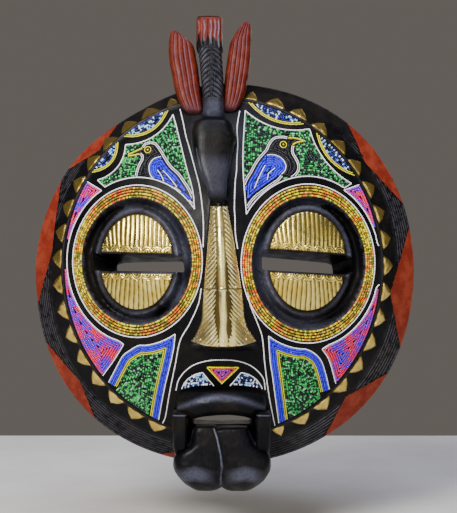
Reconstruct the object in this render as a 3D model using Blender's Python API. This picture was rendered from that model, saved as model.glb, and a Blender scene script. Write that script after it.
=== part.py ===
"""Carved wooden wall mask with glass bead inlay and embossed brass sheets.

Frame: metres, +Z up, the face looks along -Y and the flat back lies in the plane Y = 0.
The origin is the point where the raised wire loop sits on its wall hook.
Plan sizes below are millimetres from the centre of the disc: x to the right, z up, and
"height" is the distance forward of the flat back.
"""
import math

import bpy
import bmesh
from mathutils import Vector
from mathutils.geometry import delaunay_2d_cdt

MM = 0.001

# Driving sizes (millimetres)
DISC_Z = -156.6            # disc centre below the hanging point
RIM = (                    # the hand-carved edge is not quite round: (angle, radius)
    (-90.0, 192.0), (-45.0, 192.7), (0.0, 189.0), (45.0, 193.2), (90.0, 188.5),
    (120.0, 182.4), (150.0, 187.7), (180.0, 189.5), (225.0, 196.0), (270.0, 192.0),
)
RIM_STEPS = 120
BRIM_EDGE = 13.0           # height of the brim at the disc's edge
FACE_CENTRE = (-2.4, 5.0)
FACE_SEMI = (156.0, 165.0)
FACE_EDGE = 40.0           # height where the domed face meets the brim
CROWN = 104.0              # height at the top of the dome
DOME_POWER = 1.9
WALL = 26.0                # thickness of the wood behind the face

HOLLOW_CENTRE = (0.0, -14.0)
HOLLOW_SEMI = (118.0, 144.0)
HOLLOW_SLOPE = 2.8         # steepness of the hollow's side wall
HOLLOW_TURN = (0.93, 0.86, 0.79)  # shares of the hollow's outline where its wall bends

RING_GAP = 5.5             # black band left around each bead ring
TROUGH_DEPTH, TROUGH_POWER = 11.0, 1.2
EYE_SINK = 2.0
EYE_BULGE = 5.0
EYES = {
    "left": {
        "ring": (-83.8, 11.1), "outer": (64.3, 73.2), "inner": (53.6, 59.6),
        "ball": (-82.8, 10.5), "ball_semi": (40.0, 49.0), "lid_semi": (36.0, 45.0),
        "slit": ((-127.0, 18.8), (-39.3, 16.2), (-37.0, 0.9), (-125.0, 2.1)), "blind": -103.0,
    },
    "right": {
        "ring": (80.2, 8.9), "outer": (66.1, 76.5), "inner": (55.2, 62.8),
        "ball": (78.0, 11.3), "ball_semi": (42.0, 51.0), "lid_semi": (38.0, 46.8),
        "slit": ((34.3, 21.6), (121.1, 16.0), (123.2, -2.0), (34.3, 3.2)), "blind": 103.0,
    },
}

NOSE_TOP, NOSE_SEAM, NOSE_FLARE, NOSE_TIP = 62.0, -14.0, -36.0, -66.0
NOSE_LOW, NOSE_HIGH = 6.0, 24.0
NOSE_HALF_TOP, NOSE_HALF_FLARE, NOSE_HALF_TIP = 8.5, 20.0, 33.5
NOSE_FOOT_X, NOSE_LEAN = -0.9, 4.3    # the nose leans to the left as it rises
NOSE_RUNOUT = 6.0                     # wood beyond the plates at both ends

BEAD_GAP, BEAD_THICK = 0.5, 1.6
BRASS_GAP, BRASS_THICK = 0.5, 0.8
LID_LIP = 1.6                         # wood left between a lid and its slit
LID_CLEAR = 1.0

RIM_BASE = (157.2, 166.2)             # semi axes of the line under the triangles' bases
RIM_TRIANGLE = (20.5, 10.5)           # base and height of a brass triangle
RIM_NARROW = 13.0                     # base of those beside the wings and the mouth post
RIM_NARROW_ONES = (0, 17)
RIM_BELLY = (0.57, 0.29)              # where its sides swell: share of height, of base
RIM_LEFT = (107.9, 8.65, 17)          # first angle, step, count
RIM_RIGHT = (79.7, -8.8, 18)

MOUTH = ((-31.0, 26.0), (-146.5, -134.0))
RECESS = (13.0, 42.0, 6.0)            # half width, height, depth
RECESS_LOW = 120.0
THROUGH = (-5.0, 130.0)               # heights that clear the whole block
SLIT_DEPTHS = (125.0, 15.0)
SLIT_DROP = 6.0                       # fall of a slit's ceiling over those depths
HINGE_Z, HINGE_DEPTH = 136.0, 3.0
WIRE_R, PIN_HOLE_R = 1.0, 1.4
LOOP_HALF, LOOP_DROP, PIN_END, PIN_HOLE_END = 7.6, 21.6, 16.5, 17.5

GRID = 11.0
BACK_GRID = 15.0

COLOURS = {
    "wood": ((0.012, 0.011, 0.012, 1), 0.35, 0.0),
    "brass": ((0.62, 0.45, 0.12, 1), 0.3, 1.0),
    "amber": ((0.62, 0.42, 0.03, 1), 0.3, 0.0),
    "green": ((0.03, 0.25, 0.09, 1), 0.3, 0.0),
    "navy": ((0.06, 0.1, 0.3, 1), 0.3, 0.0),
    "magenta": ((0.45, 0.06, 0.3, 1), 0.3, 0.0),
    "blue": ((0.05, 0.08, 0.6, 1), 0.3, 0.0),
    "pale_blue": ((0.35, 0.55, 0.75, 1), 0.3, 0.0),
    "steel": ((0.45, 0.45, 0.46, 1), 0.35, 1.0),
}


# ---------------------------------------------------------------- plan shapes

def ratio(x, z, centre, semi):
    """Distance from an ellipse's centre, 1 on its edge."""
    return math.hypot((x - centre[0]) / semi[0], (z - centre[1]) / semi[1])


def ellipse(centre, semi, count, start=0.0, end=360.0):
    """Points on an ellipse; a full turn leaves out the repeated last point."""
    full = abs(end - start) >= 360.0
    steps = count if full else count - 1
    turns = [math.radians(start + (end - start) * i / steps) for i in range(count)]
    return [(centre[0] + semi[0] * math.cos(t), centre[1] + semi[1] * math.sin(t)) for t in turns]


def grown(semi, by):
    return (semi[0] + by, semi[1] + by)


def bow(a, b, sag, count=6):
    """A shallow arc from a to b, standing off its chord by sag to the left."""
    dx, dz = b[0] - a[0], b[1] - a[1]
    length = math.hypot(dx, dz)
    points = []
    for i in range(count):
        t = i / count
        off = sag * 4 * t * (1 - t)
        points.append((a[0] + dx * t - dz / length * off, a[1] + dz * t + dx / length * off))
    return points


def angle_on(centre, semi, point):
    """The ellipse parameter, in degrees, of the direction of a point."""
    turn = math.atan2((point[1] - centre[1]) / semi[1], (point[0] - centre[0]) / semi[0])
    return math.degrees(turn)


def along(centre, semi, a, b, count):
    """The shorter stretch of an ellipse between the directions of two points."""
    start, end = angle_on(centre, semi, a), angle_on(centre, semi, b)
    end += 360.0 * round((start - end) / 360.0)
    return ellipse(centre, semi, count, start, end)


def inside(outline, x, z):
    """True where a point lies inside a closed outline."""
    hit = False
    for (ax, az), (bx, bz) in zip(outline, outline[1:] + outline[:1]):
        if (az > z) != (bz > z) and x < ax + (bx - ax) * (z - az) / (bz - az):
            hit = not hit
    return hit


# ---------------------------------------------------------------- the carved surface

def rim_radius(x, z):
    """Radius of the disc's edge in the direction of a point."""
    angle = (math.degrees(math.atan2(z, x)) + 90.0) % 360.0 - 90.0
    after = next(i for i in range(1, len(RIM)) if angle <= RIM[i][0])
    (a, low), (b, high) = RIM[after - 1], RIM[after]
    t = (angle - a) / (b - a)
    return low + (high - low) * t * t * (3 - 2 * t)


def rim_loop():
    """Points along the disc's edge."""
    turns = [2 * math.pi * i / RIM_STEPS for i in range(RIM_STEPS)]
    radii = [rim_radius(math.cos(t), math.sin(t)) for t in turns]
    return [(r * math.cos(t), r * math.sin(t)) for t, r in zip(turns, radii)]


def dome(x, z):
    """Height of the plain domed face, and of the brim around it."""
    r = ratio(x, z, FACE_CENTRE, FACE_SEMI)
    if r <= 1.0:
        return FACE_EDGE + (CROWN - FACE_EDGE) * (1 - r ** DOME_POWER)
    edge = (FACE_CENTRE[0] + (x - FACE_CENTRE[0]) / r, FACE_CENTRE[1] + (z - FACE_CENTRE[1]) / r)
    radius = rim_radius(x, z)
    across = (radius - math.hypot(x, z)) / (radius - math.hypot(*edge))
    return BRIM_EDGE + (FACE_EDGE - BRIM_EDGE) * max(across, 0.0)


def eye_relief(x, z):
    """How far an eye's trough and ball change the dome."""
    for eye in EYES.values():
        outer = ratio(x, z, eye["ring"], eye["inner"])
        ball = ratio(x, z, eye["ball"], eye["ball_semi"])
        if ball <= 1.0:
            return EYE_BULGE * (1 - ball ** 2) - EYE_SINK
        if outer < 1.0:
            s = (1 - outer) / ((1 - outer) + (ball - 1))
            return -TROUGH_DEPTH * math.sin(math.pi * s) ** TROUGH_POWER - EYE_SINK * s
    return 0.0


def nose_line(z):
    """Centre and half width of the nose at a level."""
    rise = max(z - NOSE_TIP, 0.0) / (NOSE_TOP - NOSE_TIP)
    centre = NOSE_FOOT_X - NOSE_LEAN * rise ** 1.6
    if z > NOSE_FLARE:
        share = min((z - NOSE_FLARE) / (NOSE_TOP - NOSE_FLARE), 1.2)
        return centre, NOSE_HALF_FLARE - (NOSE_HALF_FLARE - NOSE_HALF_TOP) * share ** 1.15
    share = min((NOSE_FLARE - z) / (NOSE_FLARE - NOSE_TIP), 1.15)
    return centre, NOSE_HALF_FLARE + (NOSE_HALF_TIP - NOSE_HALF_FLARE) * share ** 1.8


def nose_relief(x, z):
    """Height that the nose adds to the dome."""
    if not NOSE_TIP - NOSE_RUNOUT < z < NOSE_TOP + NOSE_RUNOUT:
        return 0.0
    centre, half = nose_line(z)
    u = abs(x - centre) / half
    if u >= 1.0:
        return 0.0
    drop = min((NOSE_TOP - z) / (NOSE_TOP - NOSE_TIP), 1.0)
    ridge = NOSE_LOW + (NOSE_HIGH - NOSE_LOW) * max(drop, 0.0) ** 1.2
    under = min(max((z - NOSE_TIP) / NOSE_RUNOUT + 1.0, 0.0), 1.0)
    return ridge * (1 - u ** 1.5) * under


def front(x, z):
    return dome(x, z) + eye_relief(x, z) + nose_relief(x, z)


def back(x, z):
    """Height of the hollowed back above the flat back plane."""
    q = ratio(x, z, HOLLOW_CENTRE, HOLLOW_SEMI)
    if q >= 1.0:
        return 0.0
    side = HOLLOW_SLOPE * (1 - q) * min(HOLLOW_SEMI)
    return max(min(side, dome(x, z) - WALL), 0.0)


# ---------------------------------------------------------------- outlines of the inlays

def face_arc(a, b, count, inset=1.5):
    return along(FACE_CENTRE, grown(FACE_SEMI, -inset), a, b, count)


def ring_arc(side, a, b, count, gap=RING_GAP):
    eye = EYES[side]
    return along(eye["ring"], grown(eye["outer"], gap), a, b, count)


LENSES = {
    "lens_upper_left": ((-52.0, 153.0), (-97.0, 128.0), 11.4),
    "lens_lower_left": ((-100.5, 125.0), (-127.0, 94.0), 10.5),
    "lens_upper_right": ((79.0, 145.0), (21.0, 164.0), 10.0),
    "lens_lower_right": ((125.5, 91.5), (88.0, 137.0), 10.0),
}


def lens(first, last, sag):
    """A lens between the face's edge and a bowed inner side."""
    rim = face_arc(first, last, 8)
    return rim + bow(rim[-1], rim[0], -sag, 6)[1:]


def forehead_left():
    lower = ring_arc("left", (-116.5, 84.0), (-27.0, 57.0), 12)
    top, vertex, tip = (-50.1, 155.0), (-96.6, 124.3), (-124.5, 89.5)
    inner = [(-29.0, 76.2), (-35.6, 100.6), (-45.7, 140.0)]
    return lower + inner + bow(top, vertex, 9.3, 6) + bow(vertex, tip, 8.5, 5) + [tip]


def forehead_right():
    lower = ring_arc("right", (15.8, 55.0), (114.5, 80.0), 12)
    tip, vertex, top = (124.0, 86.0), (82.8, 140.3), (19.0, 158.0)
    return lower + bow(tip, vertex, 8.0, 6) + bow(vertex, top, 9.2, 6) + [top, (16.3, 104.0)]


def crescent_left():
    rim = face_arc((-131.5, 87.5), (-119.0, -102.0), 20)
    foot = [(-105.5, -84.0), (-95.0, -67.8)]
    return rim + foot + ring_arc("left", (-101.0, -65.5), (-118.0, 80.5), 16, 4.5)


def crescent_upper_right():
    rim = face_arc((150.0, 24.0), (131.0, 86.0), 8)
    return rim + ring_arc("right", (111.5, 76.0), (148.0, 27.0), 7, 3.5)


def crescent_lower_right():
    rim = face_arc((105.0, -107.0), (151.0, -10.0), 10)
    return rim + ring_arc("right", (147.0, -14.0), (99.0, -68.0), 9, 3.5) + [(91.5, -72.5), (99.0, -83.5)]


def cheek_left():
    top = ring_arc("left", (-44.0, -57.0), (-82.0, -69.0), 6, 6.0)
    rim = face_arc((-113.5, -107.0), (-64.0, -145.0), 8)
    outer = [(-91.5, -73.8), (-97.5, -78.5), (-105.3, -91.5)]
    return top + outer + rim + [(-57.1, -111.8), (-47.5, -72.9)]


def cheek_right():
    top = ring_arc("right", (77.0, -73.0), (40.5, -56.0), 6, 4.0)
    rim = face_arc((51.5, -147.0), (101.0, -113.0), 8)
    outer = [(97.3, -96.0), (92.4, -83.5), (85.5, -76.0)]
    return [(42.0, -83.0)] + rim + outer + top


def fan_left():
    top, outer = (-20.6, -92.7), (-42.3, -112.0)
    return bow(top, outer, -4.5, 6) + [outer, (-30.0, -109.0), (-18.0, -107.5), (-8.8, -107.5)]


def fan_right():
    outer, top = (36.9, -112.0), (15.2, -92.7)
    return bow(outer, top, -4.5, 6) + [top, (3.4, -107.5), (13.0, -107.5), (25.0, -109.0)]


def nose_side(low, high, count, sag=0.0):
    """The outline of a nose plate between two levels; its lower edge may sag in the middle."""
    levels = [low + (high - low) * i / (count - 1) for i in range(count)]
    edge = [(z,) + nose_line(z) for z in levels]
    right = [(c + half - 0.6, z) for z, c, half in edge]
    left = [(c - half + 0.6, z) for z, c, half in reversed(edge)]

    def across(z, steps, drop):
        centre, half = nose_line(z)
        return [(centre + half * u, z - drop * (1 - u * u)) for u in steps]

    shares = (-0.8, -0.55, -0.3, 0.0, 0.3, 0.55, 0.8)
    return right + across(high, shares[::-1], 0.0) + left + across(low, shares, sag)


def lid(side, upper):
    """Half of the brass almond, from the slit's edge outwards."""
    eye = EYES[side]
    a, b, c, d = eye["slit"]
    low, high = (a, b) if upper else (d, c)
    sign = 1.0 if upper else -1.0

    def slit_level(x):
        share = (x - low[0]) / (high[0] - low[0])
        return low[1] + (high[1] - low[1]) * share + sign * LID_LIP

    arc = ellipse(eye["ball"], eye["lid_semi"], 40)
    keep = [p for p in arc if (p[1] - slit_level(p[0])) * sign > LID_CLEAR]
    keep.sort(key=lambda p: p[0], reverse=upper)
    straight = [keep[-1][0], eye["ball"][0], keep[0][0]]
    return keep + [(x, slit_level(x)) for x in straight]


def rim_triangle(angle, width):
    """One brass triangle: its base towards the face and its tip outwards."""
    turn = math.radians(angle)
    out = (math.cos(turn), math.sin(turn))
    foot = (FACE_CENTRE[0] + RIM_BASE[0] * out[0], FACE_CENTRE[1] + RIM_BASE[1] * out[1])
    tall = RIM_TRIANGLE[1]
    rise, half = RIM_BELLY[0] * tall, RIM_BELLY[1] * width

    def at(up, aside):
        return (foot[0] + out[0] * up + out[1] * aside, foot[1] + out[1] * up - out[0] * aside)

    return [at(0.0, -width / 2), at(0.0, width / 2), at(rise, half), at(tall, 0.0), at(rise, -half)]


INLAYS = {}
for lens_name, lens_sizes in LENSES.items():
    INLAYS["bead_" + lens_name] = (lens(*lens_sizes), "navy")
INLAYS["bead_forehead_left"] = (forehead_left(), "green")
INLAYS["bead_forehead_right"] = (forehead_right(), "green")
INLAYS["bead_crescent_left"] = (crescent_left(), "magenta")
INLAYS["bead_crescent_upper_right"] = (crescent_upper_right(), "magenta")
INLAYS["bead_crescent_lower_right"] = (crescent_lower_right(), "magenta")
INLAYS["bead_cheek_left"] = (cheek_left(), "blue")
INLAYS["bead_cheek_right"] = (cheek_right(), "blue")
INLAYS["bead_lip_fan_left"] = (fan_left(), "pale_blue")
INLAYS["bead_lip_fan_right"] = (fan_right(), "pale_blue")
INLAYS["bead_lip_triangle"] = ([(-18.5, -87.5), (-2.9, -105.5), (15.2, -87.5)], "magenta")

PLATES = {
    "nose_plate_upper": nose_side(NOSE_SEAM + 0.4, NOSE_TOP, 9),
    "nose_plate_lower": nose_side(NOSE_TIP + 3.0, NOSE_SEAM - 0.4, 8, 4.0),
}
for eye_side in EYES:
    PLATES["eye_plate_upper_" + eye_side] = lid(eye_side, True)
    PLATES["eye_plate_lower_" + eye_side] = lid(eye_side, False)
for rim_side, (first_turn, turn_step, turn_count) in (("left", RIM_LEFT), ("right", RIM_RIGHT)):
    for index in range(turn_count):
        base_width = RIM_NARROW if index in RIM_NARROW_ONES else RIM_TRIANGLE[0]
        outline = rim_triangle(first_turn + turn_step * index, base_width)
        PLATES[f"rim_triangle_{rim_side}_{index + 1:02d}"] = outline


# ---------------------------------------------------------------- making objects

def clear_scene():
    for old in list(bpy.data.objects):
        bpy.data.objects.remove(old, do_unlink=True)


def material(name):
    found = bpy.data.materials.get(name)
    if found:
        return found
    colour, roughness, metallic = COLOURS[name]
    made = bpy.data.materials.new(name)
    made.use_nodes = True
    shader = made.node_tree.nodes["Principled BSDF"]
    shader.inputs["Base Color"].default_value = colour
    shader.inputs["Roughness"].default_value = roughness
    shader.inputs["Metallic"].default_value = metallic
    return made


def place(x, height, z):
    """Plan position and height to a point in the part's frame."""
    return Vector((x, -height, z + DISC_Z)) * MM


def add_object(name, bm, colour, smooth=35.0):
    """Turns a bmesh into an object in the part's frame."""
    bmesh.ops.recalc_face_normals(bm, faces=bm.faces)
    mesh = bpy.data.meshes.new(name)
    bm.to_mesh(mesh)
    bm.free()
    mesh.shade_smooth()
    mesh.set_sharp_from_angle(angle=math.radians(smooth))
    made = bpy.data.objects.new(name, mesh)
    mesh.materials.append(material(colour))
    bpy.context.scene.collection.objects.link(made)
    return made


def triangulate_plan(loops, spacing, lines=()):
    """Triangles over the disc that keep every loop and line as edges."""
    points, edges = [], []
    for loop in loops:
        first = len(points)
        points += loop
        edges += [(first + i, first + (i + 1) % len(loop)) for i in range(len(loop))]
    for line in lines:
        first = len(points)
        points += line
        edges += [(first + i, first + i + 1) for i in range(len(line) - 1)]
    cells = {}
    for x, z in points:
        cells.setdefault((int(x // spacing), int(z // spacing)), []).append((x, z))
    pitch = spacing * math.sin(math.radians(60.0))
    rows = int(max(radius for turn, radius in RIM) / pitch) + 1
    for row in range(-rows, rows + 1):
        z = row * pitch
        for column in range(-rows - 1, rows + 2):
            x = (column + 0.5 * (row % 2)) * spacing
            if math.hypot(x, z) > rim_radius(x, z) - spacing * 0.5:
                continue
            cell = (int(x // spacing), int(z // spacing))
            near = [p for i in (-1, 0, 1) for j in (-1, 0, 1)
                    for p in cells.get((cell[0] + i, cell[1] + j), ())]
            if all(math.hypot(x - px, z - pz) > spacing * 0.55 for px, pz in near):
                points.append((x, z))
    found = delaunay_2d_cdt([Vector(p) for p in points], edges, [], 0, 1e-5)
    plan = [(v.x, v.y) for v in found[0]]
    return plan, [tuple(face) for face in found[2]]


def closed_sheet(plan, triangles, top, bottom):
    """A closed solid between two heights over some triangles of a plan."""
    bm = bmesh.new()
    used = sorted({i for tri in triangles for i in tri})
    upper = {i: bm.verts.new(place(plan[i][0], top(*plan[i]), plan[i][1])) for i in used}
    lower = {i: bm.verts.new(place(plan[i][0], bottom(*plan[i]), plan[i][1])) for i in used}
    border = set()
    for a, b, c in triangles:
        bm.faces.new((upper[a], upper[b], upper[c]))
        bm.faces.new((lower[c], lower[b], lower[a]))
        for edge in ((a, b), (b, c), (c, a)):
            if (edge[1], edge[0]) in border:
                border.remove((edge[1], edge[0]))
            else:
                border.add(edge)
    for a, b in sorted(border):
        bm.faces.new((upper[b], upper[a], lower[a], lower[b]))
    return bm


def centroid(plan, tri):
    return (sum(plan[i][0] for i in tri) / 3, sum(plan[i][1] for i in tri) / 3)


# ---------------------------------------------------------------- the carved block

def front_plan():
    loops = [rim_loop(), ellipse(FACE_CENTRE, FACE_SEMI, 90)]
    for eye in EYES.values():
        loops.append(ellipse(eye["ring"], eye["outer"], 44))
        loops.append(ellipse(eye["ring"], grown(eye["inner"], 0.6), 44))
        middle = [(eye["inner"][i] + eye["ball_semi"][i]) / 2 for i in (0, 1)]
        loops.append(ellipse(eye["ring"], middle, 40))
        loops.append(ellipse(eye["ball"], eye["ball_semi"], 36))
    loops += [outline for outline, colour in INLAYS.values()]
    loops += list(PLATES.values())
    lines = []
    for low, high in ((NOSE_TIP + 3.0, NOSE_SEAM - 4.0), (NOSE_SEAM + 4.0, NOSE_TOP - 4.0)):
        levels = [low + (high - low) * i / 7 for i in range(8)]
        for share in (-0.55, 0.0, 0.55):
            lines.append([(nose_line(z)[0] + share * nose_line(z)[1], z) for z in levels])
    foot = NOSE_TIP - NOSE_RUNOUT
    shares = (-1.0, -0.7, -0.4, 0.0, 0.4, 0.7, 1.0)
    lines.append([(nose_line(foot)[0] + NOSE_HALF_TIP * u, foot + 3.0 * u * u) for u in shares])
    return triangulate_plan(loops, GRID, lines)


def back_solid(plan, triangles):
    """Front and back are meshed apart and joined around the disc's edge."""
    bm = bmesh.new()
    rim_front, rim_back = {}, {}

    def add_side(points, faces, height, rim, flip):
        verts = [bm.verts.new(place(x, height(x, z), z)) for x, z in points]
        for face in faces:
            bm.faces.new([verts[i] for i in (reversed(face) if flip else face)])
        for (x, z), vert in zip(points, verts):
            if math.hypot(x, z) > rim_radius(x, z) - 0.01:
                rim[round(math.atan2(z, x) / (2 * math.pi) * RIM_STEPS) % RIM_STEPS] = vert

    add_side(plan, triangles, front, rim_front, False)
    loops = [rim_loop(), ellipse(HOLLOW_CENTRE, HOLLOW_SEMI, 72)]
    for share in HOLLOW_TURN:
        loops.append(ellipse(HOLLOW_CENTRE, [size * share for size in HOLLOW_SEMI], 54))
    back_points, back_faces = triangulate_plan(loops, BACK_GRID)
    add_side(back_points, back_faces, back, rim_back, True)
    for i in range(RIM_STEPS):
        j = (i + 1) % RIM_STEPS
        bm.faces.new((rim_front[j], rim_front[i], rim_back[i], rim_back[j]))
    return bm


def boulder(name, centre, semi, height, power=1.0, tilt=0.0, around=20, rings=10):
    """A rounded lump: centre and half sizes in plan, and (middle, half) in height."""
    bm = bmesh.new()

    def soft(value):
        return math.copysign(abs(value) ** power, value)

    grid = []
    for i in range(1, rings):
        polar = math.pi * i / rings
        row = []
        for j in range(around):
            turn = 2 * math.pi * j / around
            px = semi[0] * soft(math.sin(polar)) * soft(math.cos(turn))
            ph = height[1] * soft(math.sin(polar)) * soft(math.sin(turn))
            pz = semi[1] * soft(math.cos(polar))
            lean = math.tan(math.radians(tilt)) * pz
            row.append(bm.verts.new(place(centre[0] + px + lean, height[0] + ph, centre[1] + pz)))
        grid.append(row)
    poles = [bm.verts.new(place(centre[0] + s * math.tan(math.radians(tilt)) * semi[1], height[0],
                                centre[1] + s * semi[1])) for s in (1, -1)]
    for i in range(rings - 2):
        for j in range(around):
            k = (j + 1) % around
            bm.faces.new((grid[i][j], grid[i][k], grid[i + 1][k], grid[i + 1][j]))
    for j in range(around):
        k = (j + 1) % around
        bm.faces.new((poles[0], grid[0][k], grid[0][j]))
        bm.faces.new((poles[1], grid[-1][j], grid[-1][k]))
    return add_object(name, bm, "wood")


def column(name, sections, around=16, power=0.7):
    """Loft through sections (z, left x, right x, back height, front height)."""
    bm = bmesh.new()
    rows = []
    for z, left, right, low, high in sections:
        row = []
        for j in range(around):
            turn = 2 * math.pi * j / around
            cx, cy = math.cos(turn), math.sin(turn)
            px = (left + right) / 2 + (right - left) / 2 * math.copysign(abs(cx) ** power, cx)
            ph = (low + high) / 2 + (high - low) / 2 * math.copysign(abs(cy) ** power, cy)
            row.append(bm.verts.new(place(px, ph, z)))
        rows.append(row)
    for upper, lower in zip(rows, rows[1:]):
        for j in range(around):
            k = (j + 1) % around
            bm.faces.new((upper[j], upper[k], lower[k], lower[j]))
    bm.faces.new(list(reversed(rows[0])))
    bm.faces.new(rows[-1])
    return add_object(name, bm, "wood")


def slab(name, outline, low, high):
    """A prism over an outline; low and high give heights at a plan point."""
    bm = bmesh.new()
    upper = [bm.verts.new(place(x, high(x, z), z)) for x, z in outline]
    lower = [bm.verts.new(place(x, low(x, z), z)) for x, z in outline]
    middle = Vector((sum(p[0] for p in outline), sum(p[1] for p in outline))) / len(outline)
    crown = bm.verts.new(place(middle.x, high(*middle) + 3.0, middle.y))
    count = len(outline)
    for i in range(count):
        j = (i + 1) % count
        bm.faces.new((upper[i], upper[j], crown))
        bm.faces.new((upper[j], upper[i], lower[i], lower[j]))
    bm.faces.new(lower)
    return add_object(name, bm, "wood")


def hidden_tool(made):
    made.hide_render = True
    made.display_type = "WIRE"
    return made


def combine(body, tool, operation):
    hidden_tool(tool)
    step = body.modifiers.new(tool.name, "BOOLEAN")
    step.operation = operation
    step.solver = "EXACT"
    step.object = tool


CREST = [
    (251.3, -27.5, -3.5, 12, 36), (245.5, -28.0, -1.8, 8, 42), (220.0, -28.0, -1.8, 6, 48),
    (216.0, -26.0, -3.0, 5, 50), (190.0, -23.5, -1.4, 4, 60), (163.0, -21.0, -0.8, 10, 70),
    (150.0, -21.0, 0.0, 25, 76), (144.0, -24.0, 2.0, 30, 82), (140.0, -31.0, 8.0, 34, 86),
    (122.0, -31.4, 12.3, 45, 93), (100.7, -26.8, 5.4, 60, 99), (80.0, -18.5, 2.5, 72, 104),
    (66.0, -13.5, 2.0, 80, 106), (62.5, -10.0, -2.0, 84, 100),
]
WING_LEFT = [
    (-49.6, 239.0), (-54.3, 233.0), (-55.5, 217.0), (-54.3, 203.0), (-50.6, 192.0), (-47.3, 179.0),
    (-43.6, 166.0), (-38.0, 156.5), (-32.0, 153.0), (-21.4, 153.4), (-18.0, 170.0), (-27.0, 205.0),
    (-33.0, 224.0), (-44.5, 235.0),
]
WING_RIGHT = [
    (4.5, 228.0), (-2.0, 205.0), (-5.0, 180.0), (-4.0, 162.0), (1.5, 154.5), (9.2, 155.0),
    (14.0, 160.5), (17.6, 168.5), (20.5, 181.0), (24.0, 193.0), (26.0, 207.0), (26.3, 226.0),
    (25.6, 241.0), (21.0, 247.5), (16.0, 245.0),
]
WING_THICK = {"tip": (8.0, 34.0), "root": (18.0, 56.0)}   # back and front heights
WING_TIP_Z, WING_ROOT_Z = 246.0, 154.0

POST = [(-126.0, 6.0, 46.0, 78.0), (-133.0, 7.2, 36.0, 84.0), (-150.0, 7.2, 24.0, 84.0),
        (-168.0, 6.4, 14.0, 80.0), (-174.0, 4.0, 20.0, 72.0)]


def post(x):
    """Sections of a mouth post: level, half width, back and front height."""
    return [(z, x - half, x + half, low, high) for z, half, low, high in POST]


def wing_height(z, face):
    """The wings lie on the brim and get thinner towards their tips."""
    share = (WING_TIP_Z - z) / (WING_TIP_Z - WING_ROOT_Z)
    tip, root = WING_THICK["tip"][face], WING_THICK["root"][face]
    return tip + (root - tip) * share


def wing_back(x, z):
    return wing_height(z, 0)


def wing_front(x, z):
    return wing_height(z, 1)


def slit_cutter(side):
    """A wedge that narrows towards the back: its outer end stays blind, its ceiling falls."""
    eye = EYES[side]
    bm = bmesh.new()
    limit = max if side == "left" else min
    near = [bm.verts.new(place(x, SLIT_DEPTHS[0], z)) for x, z in eye["slit"]]
    levels = [z - drop for (x, z), drop in zip(eye["slit"], (SLIT_DROP, SLIT_DROP, 0.0, 0.0))]
    deep = [bm.verts.new(place(limit(x, eye["blind"]), SLIT_DEPTHS[1], level))
            for (x, z), level in zip(eye["slit"], levels)]
    bm.faces.new(near)
    bm.faces.new(list(reversed(deep)))
    for i in range(4):
        j = (i + 1) % 4
        bm.faces.new((near[j], near[i], deep[i], deep[j]))
    return add_object("cutter_slit_" + side, bm, "wood")


def box_cutter(name, xs, zs, heights):
    corners = [(xs[i], heights[j], zs[k]) for i in (0, 1) for j in (0, 1) for k in (0, 1)]
    bm = bmesh.new()
    for x, height, z in corners:
        bm.verts.new(place(x, height, z))
    bmesh.ops.convex_hull(bm, input=bm.verts)
    return add_object(name, bm, "wood")


def pin_cutter():
    bm = bmesh.new()
    bmesh.ops.create_cone(bm, cap_ends=True, segments=12, radius1=PIN_HOLE_R * MM,
                          radius2=PIN_HOLE_R * MM, depth=2 * PIN_HOLE_END * MM)
    made = add_object("cutter_pin_holes", bm, "wood")
    made.rotation_euler = (0, math.pi / 2, 0)
    made.location = place(0, HINGE_DEPTH, HINGE_Z)
    return made


def carve_block(plan, triangles):
    body = add_object("mask_body", back_solid(plan, triangles), "wood")
    lumps = [
        column("tool_crest", CREST),
        slab("tool_wing_left", WING_LEFT, wing_back, wing_front),
        slab("tool_wing_right", WING_RIGHT, wing_back, wing_front),
        boulder("tool_upper_lip", (-3.5, -122.0), (44.0, 11.5), (68.0, 22.0), 0.8),
        column("tool_post_left", post(-42.3), 12),
        column("tool_post_right", post(36.3), 12),
        boulder("tool_lobe_left", (-24.8, -173.5), (25.5, 37.0), (50.0, 38.0), 0.85, -3.0),
        boulder("tool_lobe_right", (19.0, -173.5), (25.5, 37.0), (50.0, 38.0), 0.85, 3.0),
    ]
    for lump in lumps:
        combine(body, lump, "UNION")
    half, tall, deep = RECESS
    cutters = [
        slit_cutter("left"),
        slit_cutter("right"),
        box_cutter("cutter_mouth", *MOUTH, THROUGH),
        box_cutter("cutter_recess", (-half, half), (RECESS_LOW, RECESS_LOW + tall), (THROUGH[0], deep)),
        pin_cutter(),
    ]
    for cutter in cutters:
        combine(body, cutter, "DIFFERENCE")
    return body


# ---------------------------------------------------------------- inlays, plates and loop

def add_skins(plan, triangles):
    """Each inlay and plate rests on the very facets of wood below it."""
    middles = [centroid(plan, tri) for tri in triangles]

    def skin(name, test, gap, thick, colour):
        chosen = [tri for tri, (x, z) in zip(triangles, middles) if test(x, z)]
        solid = closed_sheet(plan, chosen, lambda x, z: front(x, z) + gap + thick,
                             lambda x, z: front(x, z) + gap)
        add_object(name, solid, colour)

    for name, (outline, colour) in INLAYS.items():
        skin(name, lambda x, z: inside(outline, x, z), BEAD_GAP, BEAD_THICK, colour)
    for side, eye in EYES.items():
        hole = grown(eye["inner"], 0.6)
        skin("bead_ring_" + side, lambda x, z: ratio(x, z, eye["ring"], eye["outer"]) < 1.0
             < ratio(x, z, eye["ring"], hole), BEAD_GAP, BEAD_THICK, "amber")
    for name, outline in PLATES.items():
        skin(name, lambda x, z: inside(outline, x, z), BRASS_GAP, BRASS_THICK, "brass")


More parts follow.
